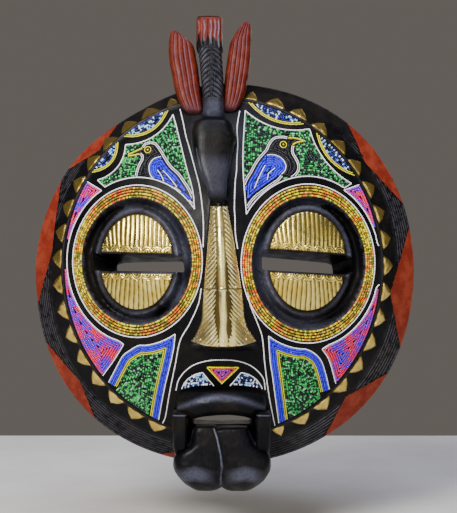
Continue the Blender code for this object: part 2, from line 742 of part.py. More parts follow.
def hanging_loop():
    """A wire bail whose ends turn outwards into two blind holes; it hangs free."""
    bend = 3.0
    drop = LOOP_DROP - LOOP_HALF
    half = [(PIN_END, 0.0), (LOOP_HALF + bend, 0.0)]
    half += [(LOOP_HALF + bend - bend * math.sin(t), -bend + bend * math.cos(t))
             for t in (math.radians(30 * i) for i in (1, 2, 3))]
    half += [(LOOP_HALF * math.cos(t), -drop - LOOP_HALF * math.sin(t))
             for t in (math.radians(15 * i) for i in range(0, 6))]
    route = half + [(0.0, -LOOP_DROP)] + [(-x, z) for x, z in reversed(half)]
    curve = bpy.data.curves.new("hanging_loop", "CURVE")
    curve.dimensions = "3D"
    curve.bevel_depth = WIRE_R * MM
    curve.bevel_resolution = 2
    curve.use_fill_caps = True
    spline = curve.splines.new("POLY")
    spline.points.add(len(route) - 1)
    for point, (x, z) in zip(spline.points, route):
        point.co = (x * MM, 0.0, z * MM, 1.0)
    curve.materials.append(material("steel"))
    made = bpy.data.objects.new("hanging_loop", curve)
    made.location = place(0, HINGE_DEPTH, HINGE_Z)
    bpy.context.scene.collection.objects.link(made)


def main():
    clear_scene()
    plan, triangles = front_plan()
    carve_block(plan, triangles)
    add_skins(plan, triangles)
    hanging_loop()


main()
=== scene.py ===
# Looks of the beaded mask: carved wood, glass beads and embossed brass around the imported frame.
# Plan sizes are millimetres from the disc's centre, x to the right and z up, and a height is the
# distance forward of the flat back, as in the CAD part. The last part of the file puts it together.
import math

import bpy
import numpy as np
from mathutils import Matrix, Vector
from mathutils.geometry import delaunay_2d_cdt
from mathutils.kdtree import KDTree


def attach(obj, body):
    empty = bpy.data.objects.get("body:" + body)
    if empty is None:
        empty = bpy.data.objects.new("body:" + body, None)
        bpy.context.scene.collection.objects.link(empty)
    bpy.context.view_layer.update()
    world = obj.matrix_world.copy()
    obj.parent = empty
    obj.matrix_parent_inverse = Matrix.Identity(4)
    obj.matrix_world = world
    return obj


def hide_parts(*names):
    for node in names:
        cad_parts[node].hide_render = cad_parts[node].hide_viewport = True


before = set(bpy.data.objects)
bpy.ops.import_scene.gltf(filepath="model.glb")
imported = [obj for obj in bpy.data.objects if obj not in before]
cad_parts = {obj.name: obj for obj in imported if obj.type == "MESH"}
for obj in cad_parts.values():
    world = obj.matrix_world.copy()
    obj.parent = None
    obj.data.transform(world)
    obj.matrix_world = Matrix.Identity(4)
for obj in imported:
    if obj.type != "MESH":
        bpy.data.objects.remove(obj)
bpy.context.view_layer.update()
chance = np.random.default_rng(7)

MM = 0.001

# The carved surface: the CAD part's own driving sizes
DISC_Z = -156.6
RIM = ((-90, 192), (-45, 192.7), (0, 189), (45, 193.2), (90, 188.5),
       (120, 182.4), (150, 187.7), (180, 189.5), (225, 196), (270, 192))
BRIM_EDGE = 13.0
FACE_CENTRE = (-2.4, 5.0)
FACE_SEMI = (156.0, 165.0)
FACE_EDGE = 40.0
CROWN = 104.0
DOME_POWER = 1.9
WALL = 26.0
HOLLOW_CENTRE = (0.0, -14.0)
HOLLOW_SEMI = (118.0, 144.0)
HOLLOW_SLOPE = 2.8
TROUGH_DEPTH = 11.0
EYE_SINK = 2.0
EYE_BULGE = 5.0
EYES = {
    "left": {
        "ring": (-83.8, 11.1), "outer": (64.3, 73.2), "inner": (53.6, 59.6),
        "ball": (-82.8, 10.5), "ball_semi": (40, 49), "lid_semi": (36, 45),
        "slit": ((-127, 18.8), (-39.3, 16.2), (-37, 0.9), (-125, 2.1)), "blind": -103,
    },
    "right": {
        "ring": (80.2, 8.9), "outer": (66.1, 76.5), "inner": (55.2, 62.8),
        "ball": (78, 11.3), "ball_semi": (42, 51), "lid_semi": (38, 46.8),
        "slit": ((34.3, 21.6), (121.1, 16), (123.2, -2), (34.3, 3.2)), "blind": 103,
    },
}
NOSE_TOP, NOSE_FLARE, NOSE_TIP = 62.0, -36.0, -66.0
NOSE_LOW, NOSE_HIGH = 6.0, 24.0
NOSE_HALF_TOP, NOSE_HALF_FLARE, NOSE_HALF_TIP = 8.5, 20.0, 33.5
SKIN_GAP = 0.5
BRASS_THICK = 0.8
TACK_LIMIT = 118.7
SLIT_DROP = 14.0
RECESS = ((-13.0, 162.0), (13.0, 162.0), (13.0, 120.0), (-13.0, 120.0))
RECESS_DEEP = 6.0
MOUTH = ((-31.0, -134.0), (26.0, -134.0), (26.0, -146.5), (-31.0, -146.5))

# Fine surface sizes
TURN_STEPS = 720
FRONT_GRID = 1.9
BACK_GRID = 2.1
BEAD_ROW = 2.15
BEAD_STEP = 1.62
BEAD_R = 1.04
WHITE_SIZE, YELLOW_SIZE, THIN = 0.56, 0.70, 0.38


# ---------------------------------------------------------------- heights of the carved surface

def unit(value):
    return np.clip(value, 0, 1)


def bell(off, half, power=2):
    """1 in the middle of a line, falling to nearly 0 beyond its half width."""
    return np.exp(-(off / half) ** power)


def ratio(x, z, centre, semi):
    """Distance from an ellipse's centre, 1 on its edge."""
    return np.hypot((x - centre[0]) / semi[0], (z - centre[1]) / semi[1])


def eased(table, turn):
    """A value at an angle in degrees, eased between the table's (angle, value) pairs."""
    turns, values = np.array(table).T
    turn = (turn + 90.0) % 360.0 - 90.0
    i = np.clip(np.searchsorted(turns, turn), 1, len(turns) - 1)
    t = (turn - turns[i - 1]) / (turns[i] - turns[i - 1])
    return values[i - 1] + (values[i] - values[i - 1]) * t * t * (3 - 2 * t)


def bearing(x, z):
    return np.degrees(np.arctan2(z, x))


def dome(x, z):
    """Height of the plain domed face, and of the brim around it."""
    r = ratio(x, z, FACE_CENTRE, FACE_SEMI)
    face = FACE_EDGE + (CROWN - FACE_EDGE) * (1 - np.minimum(r, 1) ** DOME_POWER)
    far = np.maximum(r, 1)
    edge = np.hypot(FACE_CENTRE[0] + (x - FACE_CENTRE[0]) / far, FACE_CENTRE[1] + (z - FACE_CENTRE[1]) / far)
    radius = eased(RIM, bearing(x, z))
    across = (radius - np.hypot(x, z)) / (radius - edge)
    brim = BRIM_EDGE + (FACE_EDGE - BRIM_EDGE) * np.maximum(across, 0)
    return np.where(r <= 1, face, brim)


def eye_relief(x, z):
    """How far the eyes' troughs and balls change the dome."""
    total = np.zeros_like(x)
    for eye in EYES.values():
        outer = ratio(x, z, eye["ring"], eye["inner"])
        ball = ratio(x, z, eye["ball"], eye["ball_semi"])
        share = unit((1 - outer) / np.maximum(ball - outer, 1e-6))
        trough = -TROUGH_DEPTH * np.sin(np.pi * share) ** 1.2 - EYE_SINK * share
        bulge = EYE_BULGE * (1 - ball ** 2) - EYE_SINK
        total += np.where(ball <= 1, bulge, np.where(outer < 1, trough, 0))
    return total


def nose_line(z):
    """Centre and half width of the nose at a level."""
    rise = np.maximum(z - NOSE_TIP, 0) / (NOSE_TOP - NOSE_TIP)
    centre = -0.9 - 4.3 * rise ** 1.6
    up = np.clip((z - NOSE_FLARE) / (NOSE_TOP - NOSE_FLARE), 0, 1.2)
    down = np.clip((NOSE_FLARE - z) / (NOSE_FLARE - NOSE_TIP), 0, 1.15)
    narrow = (NOSE_HALF_FLARE - NOSE_HALF_TOP) * up ** 1.15
    return centre, NOSE_HALF_FLARE - narrow + (NOSE_HALF_TIP - NOSE_HALF_FLARE) * down ** 1.8


def nose_relief(x, z):
    """Height that the nose adds to the dome."""
    centre, half = nose_line(z)
    u = np.minimum(np.abs(x - centre) / half, 1)
    drop = unit((NOSE_TOP - z) / (NOSE_TOP - NOSE_TIP))
    ridge = NOSE_LOW + (NOSE_HIGH - NOSE_LOW) * drop ** 1.2
    under = unit((z - NOSE_TIP + 6.0) / 6.0)
    return np.where(z < NOSE_TOP + 6.0, ridge * (1 - u ** 1.5) * under, 0)


def front(x, z):
    return dome(x, z) + eye_relief(x, z) + nose_relief(x, z)


def back(x, z):
    """Height of the hollowed back above the flat back plane."""
    q = ratio(x, z, HOLLOW_CENTRE, HOLLOW_SEMI)
    side = HOLLOW_SLOPE * (1 - q) * min(HOLLOW_SEMI)
    return np.where(q < 1, np.clip(side, 0, np.maximum(dome(x, z) - WALL, 0)), 0)


def ripple(x, z, size, seed):
    """Smooth pseudo-random waves between -1 and 1."""
    waves = np.random.default_rng(seed).uniform(0, 2 * np.pi, (5, 2))
    total = np.zeros_like(x)
    for turn, phase in waves:
        total += np.sin((x * math.cos(turn) + z * math.sin(turn)) * 2 * np.pi / size + phase)
    return total / 3.0


# ---------------------------------------------------------------- paths in plan

def smooth(points, spacing, closed=True, corner=35.0):
    """A dense path through some points: round, with the sharp corners kept."""
    p = np.array(points, float)
    count = len(p)
    before = np.roll(p, 1, 0)
    after = np.roll(p, -1, 0)
    into, out = p - before, after - p
    turn = np.abs(np.angle((out[:, 0] + 1j * out[:, 1]) / (into[:, 0] + 1j * into[:, 1] + 1e-12)))
    sharp = turn > math.radians(corner)
    if not closed:
        sharp[[0, -1]] = True
    chord = after - before
    chord /= np.linalg.norm(chord, axis=1)[:, None] + 1e-12
    path = []
    for i in range(count if closed else count - 1):
        j = (i + 1) % count
        step = p[j] - p[i]
        length = np.linalg.norm(step)
        start = step if sharp[i] else chord[i] * length
        end = step if sharp[j] else chord[j] * length
        t = np.linspace(0, 1, max(int(math.ceil(length / spacing)), 1), endpoint=False)[:, None]
        path.append((2 * t ** 3 - 3 * t ** 2 + 1) * p[i] + (t ** 3 - 2 * t ** 2 + t) * start
                    + (3 * t ** 2 - 2 * t ** 3) * p[j] + (t ** 3 - t ** 2) * end)
    if not closed:
        path.append(p[-1:])
    return np.vstack(path)


def oval(centre, semi, count):
    turn = np.arange(count) * 2 * np.pi / count
    return np.stack([centre[0] + semi[0] * np.cos(turn), centre[1] + semi[1] * np.sin(turn)], 1)


def within(outline, points):
    """True for the points inside a closed outline."""
    x, z = points[:, 0], points[:, 1]
    hits = np.zeros(len(points), int)
    for a, b in zip(outline, np.roll(outline, -1, 0)):
        if a[1] != b[1]:
            spans = (a[1] > z) != (b[1] > z)
            hits += spans & (x < a[0] + (b[0] - a[0]) * (z - a[1]) / (b[1] - a[1]))
    return hits % 2 == 1


def distance(points, path, block=800):
    """Distance from each point to the nearest point of a dense path."""
    found = [np.sqrt(((points[i:i + block, None] - path[None]) ** 2).sum(2).min(1))
             for i in range(0, len(points), block)]
    return np.concatenate(found) if found else np.zeros(0)


def node_outline(name):
    """The plan outline of a CAD skin, from the border of its forward faces."""
    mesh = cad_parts[name].data
    keys = [(round(v.co.x / MM, 2), round(v.co.z / MM - DISC_Z, 2)) for v in mesh.vertices]
    sides = set()
    for face in mesh.polygons:
        if face.normal.y < -0.2:
            ring = [keys[i] for i in face.vertices]
            sides.update(zip(ring, ring[1:] + ring[:1]))
    after = {a: b for a, b in sides if (b, a) not in sides}
    loop = [min(after)]
    while after[loop[-1]] != loop[0]:
        loop.append(after[loop[-1]])
    return loop


# ---------------------------------------------------------------- meshes

def to_world(x, height, z):
    return np.stack([x, -height, z + DISC_Z], -1) * MM


def make_mesh(name, verts, faces, materials, indices=None, flat=False, crease=40.0):
    """An object from arrays; faces is a list of index arrays of 3 or 4 columns."""
    mesh = bpy.data.meshes.new(name)
    mesh.vertices.add(len(verts))
    mesh.vertices.foreach_set("co", np.asarray(verts, np.float32).ravel())
    corners = np.concatenate([f.ravel() for f in faces])
    sizes = np.concatenate([np.full(len(f), f.shape[1]) for f in faces])
    mesh.loops.add(len(corners))
    mesh.loops.foreach_set("vertex_index", corners.astype(np.int32))
    mesh.polygons.add(len(sizes))
    mesh.polygons.foreach_set("loop_start", (np.cumsum(sizes) - sizes).astype(np.int32))
    for material in materials:
        mesh.materials.append(material)
    if indices is not None:
        mesh.polygons.foreach_set("material_index", np.asarray(indices, np.int32))
    mesh.update(calc_edges=True)
    mesh.validate()
    if not flat:
        mesh.shade_smooth()
        if crease:
            mesh.set_sharp_from_angle(angle=math.radians(crease))
    made = bpy.data.objects.new(name, mesh)
    bpy.context.scene.collection.objects.link(made)
    return made


def set_values(obj, **values):
    """Stores named numbers for each vertex, for the material to read."""
    for name, numbers in values.items():
        layer = obj.data.attributes.new(name, "FLOAT", "POINT")
        layer.data.foreach_set("value", np.asarray(numbers, np.float32))


def fetched(items, key, width, kind=float):
    """One property of all of a mesh's elements, a row for each."""
    found = np.zeros(len(items) * width, kind)
    items.foreach_get(key, found)
    return found.reshape(-1, width)


def convexity(mesh):
    """How far each vertex stands out from its neighbours: positive on ridges and edges."""
    co = fetched(mesh.vertices, "co", 3)
    normals = fetched(mesh.vertex_normals, "vector", 3)
    a, b = fetched(mesh.edges, "vertices", 2, int).T
    step = co[b] - co[a]
    length = np.linalg.norm(step, axis=1) + 1e-9
    total, number = np.zeros(len(co)), np.zeros(len(co))
    for end, sign in ((a, -1), (b, 1)):
        np.add.at(total, end, sign * (step * normals[end]).sum(1) / length)
        np.add.at(number, end, 1)
    return total / np.maximum(number, 1)


def hex_grid(radius, spacing):
    rows = int(radius / (spacing * 0.866)) + 1
    row, column = np.meshgrid(np.arange(-rows, rows + 1), np.arange(-rows, rows + 1), indexing="ij")
    x = (column + 0.5 * (row % 2)) * spacing
    return np.stack([x.ravel(), (row * spacing * 0.866).ravel()], 1)


def plan_mesh(loops, grid, spacing):
    """Triangles that keep each closed loop as edges and fill between with grid points."""
    fixed = np.vstack(loops)
    cell = spacing * 0.62
    taken = set()
    for i in (-1, 0, 1):
        for j in (-1, 0, 1):
            taken.update(map(tuple, (np.floor(fixed / cell).astype(int) + (i, j)).tolist()))
    free = [i for i, key in enumerate(np.floor(grid / cell).astype(int).tolist()) if tuple(key) not in taken]
    points = np.vstack([fixed, grid[free]])
    edges, first = [], 0
    for loop in loops:
        number = len(loop)
        edges += [(first + i, first + (i + 1) % number) for i in range(number)]
        first += number
    found = delaunay_2d_cdt([Vector(p) for p in points.tolist()], edges, [], 0, 1e-5)
    plan = np.array([(v.x, v.y) for v in found[0]])
    tris = np.array([f for f in found[2] if len(f) == 3])
    a, b, c = plan[tris[:, 0]], plan[tris[:, 1]], plan[tris[:, 2]]
    area = (b[:, 0] - a[:, 0]) * (c[:, 1] - a[:, 1]) - (b[:, 1] - a[:, 1]) * (c[:, 0] - a[:, 0])
    tris = np.where(area[:, None] > 0, tris, tris[:, ::-1])[np.abs(area) > 1e-7]
    return plan, tris


# ---------------------------------------------------------------- materials

class Nodes:
    """Short names for the shader nodes a material needs."""

    def __init__(self, name):
        self.material = bpy.data.materials.get(name) or bpy.data.materials.new(name)
        self.material.use_nodes = True
        self.tree = self.material.node_tree

    def feed(self, node, inputs):
        """Links the sockets among some inputs and sets the plain values."""
        for key, value in inputs.items():
            if isinstance(value, bpy.types.NodeSocket):
                self.tree.links.new(value, node.inputs[key])
            else:
                node.inputs[key].default_value = value

    def add(self, kind, inputs, output=0, **settings):
        node = self.tree.nodes.new(kind)
        for key, value in settings.items():
            setattr(node, key, value)
        self.feed(node, inputs)
        return node.outputs[output]

    def noise(self, size, detail=4.0, rough=0.55, stretch=(1, 1, 1)):
        """Fractal noise whose features measure about size millimetres."""
        place = self.add("ShaderNodeTexCoord", {}, "Object")
        place = self.add("ShaderNodeMapping", {"Vector": place, "Scale": stretch})
        inputs = {"Vector": place, "Scale": 1.0 / (size * MM), "Detail": detail, "Roughness": rough}
        return self.add("ShaderNodeTexNoise", inputs, "Fac")

    def value(self, name):
        return self.add("ShaderNodeAttribute", {}, "Fac", attribute_name=name)

    def spread(self, source, low, high, to_low=0.0, to_high=1.0):
        """Maps a range onto another, smoothly and clamped."""
        inputs = dict(enumerate((source, low, high, to_low, to_high)))
        return self.add("ShaderNodeMapRange", inputs, interpolation_type="SMOOTHSTEP")

    def maths(self, operation, a, b):
        return self.add("ShaderNodeMath", {0: a, 1: b}, operation=operation)

    def mix(self, share, a, b):
        """Blends two colours, each a socket or three numbers."""
        a, b = ((*c, 1) if isinstance(c, tuple) else c for c in (a, b))
        return self.add("ShaderNodeMix", {"Factor": share, 6: a, 7: b}, 2, data_type="RGBA")

    def bump(self, source, height, normal=None):
        """A bump whose depth is in millimetres, over another bump if there is one."""
        inputs = {"Height": source, "Distance": height * MM}
        return self.add("ShaderNodeBump", inputs | ({"Normal": normal} if normal else {}))

    def finish(self, colour, roughness, normal=None, **plain):
        inputs = {"Base Color": colour, "Roughness": roughness} | ({"Normal": normal} if normal else {})
        inputs |= {key.replace("_", " "): value for key, value in plain.items()}
        self.feed(self.tree.nodes["Principled BSDF"], inputs)
        return self.material


def painted_wood(name, depth):
    """Black-stained carved wood: red where 'red' is positive, worn and dusty where 'wear' is high."""
    n = Nodes(name)
    patches = n.noise(34, 5)
    grain = n.noise(1.6, 5, 0.6, (1, 1, 0.08))
    fine = n.noise(0.9, 3)
    black = n.mix(n.spread(patches, 0.42, 0.66), (0.0022, 0.0021, 0.0028), (0.0070, 0.0058, 0.0046))
    black = n.mix(n.spread(grain, 0.5, 0.75, 0, 0.3), black, (0.018, 0.016, 0.016))
    reds = (tuple(depth * c for c in colour) for colour in ((0.135, 0.015, 0.007), (0.20, 0.032, 0.014)))
    red = n.mix(n.spread(n.noise(11, 5), 0.38, 0.68), *reds)
    red = n.mix(n.spread(grain, 0.55, 0.78, 0, 0.45), red, (0.10, 0.018, 0.012))
    ragged = n.maths("ADD", n.value("red"), n.spread(n.noise(3, 3), 0.3, 0.7, -0.45, 0.45))
    colour = n.mix(n.spread(ragged, -0.12, 0.12), black, red)
    worn = n.maths("MULTIPLY", n.value("wear"), n.spread(n.noise(6, 5), 0.30, 0.58))
    colour = n.mix(n.maths("MULTIPLY", worn, 0.85), colour, (0.24, 0.225, 0.255))
    # Painted highlight: this lilac colour stands in for sky sheen on the lip, lobes, neck, beak, eye sockets
    # and carved ridges; on the tail's drips it is pale paint.
    pale = n.maths("MULTIPLY", n.value("pale"), n.spread(n.noise(2.4, 4), 0.2, 0.6, 0.45, 1.0))
    colour = n.mix(pale, colour, (0.235, 0.245, 0.35))
    dust = n.maths("MULTIPLY", n.spread(fine, 0.62, 0.75), n.spread(patches, 0.5, 0.7, 0, 0.22))
    colour = n.mix(dust, colour, (0.10, 0.09, 0.08))
    roughness = n.spread(n.noise(14, 5), 0.3, 0.75, 0.27, 0.5)
    normal = n.bump(grain, 0.10)
    normal = n.bump(n.noise(7, 2), 0.16, normal)
    normal = n.bump(fine, 0.05, normal)
    return n.finish(colour, roughness, normal, Specular_IOR_Level=0.08)


def raw_wood():
    """The hollowed back: dark stained wood with open grain."""
    n = Nodes("stained_back")
    grain = n.noise(2.2, 6, 0.65, (1, 1, 0.06))
    broad = n.noise(28, 4, 0.5, (1, 1, 0.3))
    colour = n.mix(n.spread(broad, 0.35, 0.7), (0.028, 0.017, 0.011), (0.075, 0.042, 0.023))
    colour = n.mix(n.spread(grain, 0.45, 0.72, 0, 0.8), colour, (0.016, 0.0105, 0.008))
    colour = n.mix(n.maths("MULTIPLY", n.value("wear"), 0.5), colour, (0.16, 0.10, 0.06))
    normal = n.bump(grain, 0.22)
    normal = n.bump(n.noise(1.0, 3), 0.08, normal)
    return n.finish(colour, n.spread(grain, 0.3, 0.7, 0.72, 0.5), normal)


def brass(name, bright, dull, tarnish):
    """Thin embossed brass: dull in its hollows, bright on its ridges, with dark spots."""
    n = Nodes(name)
    cloud = n.noise(13, 6, 0.6)
    height = n.value("relief")
    colour = n.mix(n.spread(cloud, 0.35, 0.65), bright, dull)
    hollow = n.spread(height, 0.62, 0.12)
    colour = n.mix(n.maths("MULTIPLY", hollow, 0.95), colour, tarnish)
    spots = n.spread(n.noise(2.3, 4, 0.7), 0.63, 0.72)
    colour = n.mix(n.maths("MULTIPLY", spots, 0.55), colour, (0.08, 0.05, 0.015))
    rough = n.maths("ADD", n.spread(cloud, 0.3, 0.7, 0.2, 0.38), n.maths("MULTIPLY", hollow, 0.2))
    normal = n.bump(n.noise(3.2, 3), 0.12)
    normal = n.bump(n.noise(0.5, 2, 0.6, (1, 1, 0.15)), 0.02, normal)
    return n.finish(colour, rough, normal, Metallic=1.0)


def steel():
    n = Nodes("wire_steel")
    streak = n.noise(1.4, 5, 0.65)
    colour = n.mix(n.spread(streak, 0.45, 0.7), (0.42, 0.41, 0.40), (0.16, 0.12, 0.10))
    rough = n.spread(streak, 0.4, 0.7, 0.26, 0.6)
    return n.finish(colour, rough, n.bump(streak, 0.03), Metallic=1.0)


BEAD_COLOURS = {
    "white": (0.93, 0.92, 0.92), "cream": (0.78, 0.76, 0.68),
    "yellow": (0.82, 0.70, 0.004), "lemon": (0.66, 0.70, 0.010), "gold": (0.70, 0.42, 0.006),
    "ochre": (0.40, 0.20, 0.006), "orange": (0.74, 0.13, 0.006), "rust": (0.50, 0.040, 0.005),
    "olive": (0.13, 0.13, 0.006), "black": (0.0035, 0.003, 0.005), "ink": (0.010, 0.008, 0.016),
    "green": (0.020, 0.34, 0.065), "leaf": (0.080, 0.52, 0.13), "bottle": (0.002, 0.050, 0.018),
    "mint": (0.24, 0.62, 0.36), "blue": (0.022, 0.007, 0.76), "cobalt": (0.010, 0.005, 0.42),
    "sky": (0.24, 0.46, 0.86), "ice": (0.56, 0.76, 0.95), "navy": (0.006, 0.010, 0.11),
    "red": (0.74, 0.018, 0.035), "pink": (0.56, 0.035, 0.22), "magenta": (0.42, 0.015, 0.22),
    "purple": (0.27, 0.022, 0.42), "violet": (0.13, 0.030, 0.62),
}


def bead_glass(name):
    """Pressed glass: one colour through and through, with a wet-looking skin."""
    n = Nodes("glass_" + name)
    colour = (*BEAD_COLOURS[name], 1)
    return n.finish(colour, 0.22, None, Specular_IOR_Level=0.35, Coat_Weight=0.2, Coat_Roughness=0.08)


# ---------------------------------------------------------------- strings of beads

def barrel(around=8):
    """A bead of length 2 and radius 1: corners as (along, across, up), and its faces."""
    rings = ((-1.0, 0.58), (-0.62, 0.96), (0.62, 0.96), (1.0, 0.58))
    turns = [2 * math.pi * i / around for i in range(around)]
    points = [(t, r * math.cos(a), r * math.sin(a)) for t, r in rings for a in turns]
    last = (len(rings) - 1) * around
    faces = [(k + i, k + (i + 1) % around, k + around + (i + 1) % around, k + around + i)
             for k in range(0, last, around) for i in range(around)]
    for a, b, c, d in ((0, 3, 2, 1), (0, 7, 4, 3), (4, 7, 6, 5)):
        faces += [(a, b, c, d), (last + d, last + c, last + b, last + a)]
    return np.array(points), np.array(faces)


class Beads:
    """The beads of one panel, strung row by row without running into each other."""

    def __init__(self):
        self.rows = []      # (places, directions, girths, colours) of each chain

    def string(self, path, colour, room, girth):
        """Bead places along an open path, with their directions, girths and colours."""
        line = np.column_stack([path, front(*path.T)])
        lengths = np.concatenate([[0], np.cumsum(np.linalg.norm(np.diff(line, axis=0), axis=1))])
        number = int(lengths[-1] / BEAD_STEP + 0.3)
        if number < 1:
            return []
        at = (np.arange(number) + 0.5) * lengths[-1] / number
        reach = min(0.6, lengths[-1] / 3)
        spots, ahead, behind = (np.column_stack([np.interp(at + off, lengths, p) for p in path.T])
                                for off in (0, reach, -reach))
        keep = np.ones(number, bool)
        if self.rows:
            keep = distance(spots, np.vstack([row[0] for row in self.rows])) > room
        if not keep.any():
            return []
        spots = spots[keep]
        return [(spots, (ahead - behind)[keep], np.tile(girth, (len(spots), 1)), np.array(colour(spots)))]

    def row(self, chains, colour, room=1.45, width=1.0, size=1.0):
        """One row of chains, which keeps clear of the rows before it."""
        self.rows += sum([self.string(chain, colour, room, (width * size, size)) for chain in chains], [])

    def build(self, name, nodes):
        """Makes the piece and lets it stand for its CAD nodes."""
        plan, ahead, girths = (np.vstack([row[i] for row in self.rows]) for i in range(3))
        names = np.concatenate([row[3] for row in self.rows])
        widths, talls = girths.T
        count = len(plan)
        x, z = plan.T
        near = 0.4
        slope_x = (front(x + near, z) - front(x - near, z)) / (2 * near)
        slope_z = (front(x, z + near) - front(x, z - near)) / (2 * near)
        normal = np.column_stack([-slope_x, -slope_z, np.ones(count)])
        normal /= np.linalg.norm(normal, axis=1)[:, None]
        along = np.column_stack([ahead, slope_x * ahead[:, 0] + slope_z * ahead[:, 1]])
        along /= np.linalg.norm(along, axis=1)[:, None]
        across = np.cross(normal, along)
        stretch = 1.0 / np.clip(np.hypot(across[:, 0], across[:, 1]), 0.62, 1.0)
        lean = chance.normal(0, 0.07, count)[:, None]
        along, across = along + across * lean, across - along * lean
        size = chance.normal(1.0, 0.045, (3, count))
        shape, faces = barrel()
        lift = np.maximum(1.49 * talls - 1.04, 0.2)      # thin beads lie deeper in the resin
        corners = np.column_stack([x, z, front(x, z) + lift])[:, None]
        for axis, half, part in ((along, 0.47 * BEAD_STEP * size[0], 0),
                                 (across, BEAD_R * stretch * widths * np.minimum(size[1], 1.04), 1),
                                 (normal, BEAD_R * talls * np.minimum(size[2], 1.06), 2)):
            corners = corners + axis[:, None] * (half[:, None] * shape[:, part])[..., None]
        world = to_world(corners[..., 0], corners[..., 2], corners[..., 1]).reshape(-1, 3)
        index = (np.arange(count) * len(shape))[:, None, None] + faces[None]
        used = sorted(set(names))
        numbers = np.repeat([used.index(n) for n in names], len(faces))
        glass = [bead_glass(n) for n in used]
        made = make_mesh(name, world, [index.reshape(-1, 4)], glass, numbers, crease=0)
        dress(made, nodes)


def dress(piece, nodes):
    """Puts a finished piece on the mask's body and hides the CAD nodes it stands for."""
    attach(piece, "mask")
    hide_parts(*nodes)


def offset_rows(strung, outline, first, count=60, closed=True, skip=None):
    """Rows of bead places at growing distance to the left of a dense path, inside an outline."""
    step = np.roll(strung, -1, 0) - strung
    if not closed:
        step[-1] = step[-2]
    angle = np.arctan2(step[:, 1], step[:, 0]) + np.pi / 2
    places = [(*strung[0], angle[0])]
    for point, before, after in zip(strung[1:], angle, angle[1:]):
        bend = (after - before + np.pi) % (2 * np.pi) - np.pi
        if bend < -0.2:
            shares = np.linspace(0, 1, int(-bend / 0.08) + 2)[1:-1]
            places += [(*point, before + bend * share) for share in shares]
        places.append((*point, after))
    places = np.array(places)
    aim = np.column_stack([np.cos(places[:, 2]), np.sin(places[:, 2])])
    rows = []
    for away in first + np.arange(count) * BEAD_ROW:
        spots = places[:, :2] + aim * away
        keep = within(outline, spots)
        keep[keep] = distance(spots[keep], strung) > away - 0.08
        keep[keep] = distance(spots[keep], outline) > min(0.95, away - 0.1)
        if skip is not None and keep.any():
            keep[keep] = skip(spots[keep])
        if not keep.any():
            break
        rows.append(split_chain(spots, keep))
    return rows


def split_chain(spots, keep, gap=1.6):
    """The kept spots as chains, cut where neighbours are too far apart."""
    kept = spots[keep]
    far = np.linalg.norm(np.diff(kept, axis=0), axis=1) > gap
    return [c for c in np.split(kept, np.flatnonzero(far) + 1) if len(c) > 1]


# ---------------------------------------------------------------- colour patterns of the beads

def plain(name):
    return lambda spots: [name] * len(spots)


def speckle(shares):
    """Random colours in given shares."""
    names = list(shares)
    weights = np.array(list(shares.values()), float)
    return lambda spots: chance.choice(names, len(spots), p=weights / weights.sum())


def patchy(sets, size, seed):
    """Random colours whose shares change from patch to patch."""
    def pick(spots):
        level = ripple(spots[:, 0], spots[:, 1], size, seed) + chance.normal(0, 0.35, len(spots))
        which = np.clip(((level + 1) / 2 * len(sets)).astype(int), 0, len(sets) - 1)
        return [chance.choice(sets[i]) for i in which]
    return pick


GREENS = speckle({"green": 3.4, "leaf": 1.4, "mint": 0.6, "black": 3.6, "bottle": 2.4})
DARK_GREENS = speckle({"green": 2.6, "leaf": 0.9, "mint": 0.4, "black": 4.6, "bottle": 3.0})
NAVIES = speckle({"navy": 3.6, "black": 3.4, "sky": 2.2, "ice": 0.7, "white": 0.25, "cobalt": 1.0})
PALES = speckle({"sky": 2.2, "ice": 2.0, "white": 1.0, "navy": 2.0, "black": 2.0})
PINKS = patchy((("violet", "blue", "purple"), ("magenta", "purple", "violet"), ("pink", "magenta", "magenta"),
                ("red", "red", "pink")), 22.0, 3)
RINGS = patchy((("rust", "orange", "ochre", "gold"), ("gold", "orange", "olive", "olive"),
                ("gold", "olive", "lemon", "ochre"), ("yellow", "ochre", "olive", "lemon")), 34.0, 5)


# ---------------------------------------------------------------- the bead panels

def on_rim(path, limit=0.984):
    """True for the points of an outline that lie along the face's edge."""
    return ratio(path[:, 0], path[:, 1], FACE_CENTRE, FACE_SEMI) > limit


def strung_side(outline, open_side):
    """The outline without its open side, as one path that starts after the opening."""
    shut = ~open_side
    start = (shut & ~np.roll(shut, 1)).argmax()
    return np.roll(outline, -start, 0)[np.roll(shut, -start)]


def panel(node, layers, fill, open_side=None, bird=None):
    """Outer rows of (colour, size), then rows of the fill up to the middle."""
    outline = smooth(node_outline(node), 0.5)
    beads = Beads()
    closed = open_side is None
    strung = outline if closed else strung_side(outline, open_side(outline))
    away = 0.15
    for colour, size in layers:
        away += BEAD_R * size
        for row in offset_rows(strung, outline, first=away, count=1, closed=closed):
            beads.row(row, colour, size=size)
        away += BEAD_R * size
    zone = bird(beads, outline) if bird else None
    first, skip = away + BEAD_R, None
    if not closed:      # the rows by the open side start at once, and the others below the strings
        first = BEAD_R + (first - BEAD_R) % BEAD_ROW
        skip = lambda spots: distance(spots, strung) > away + BEAD_R - 0.1
    for row in offset_rows(outline, outline, first, skip=skip):
        if zone:
            row = sum([split_chain(chain, ~zone(chain), 1.0) for chain in row], [])
        beads.row(row, fill, room=1.5)
    beads.build("beads_" + node[5:], [node])


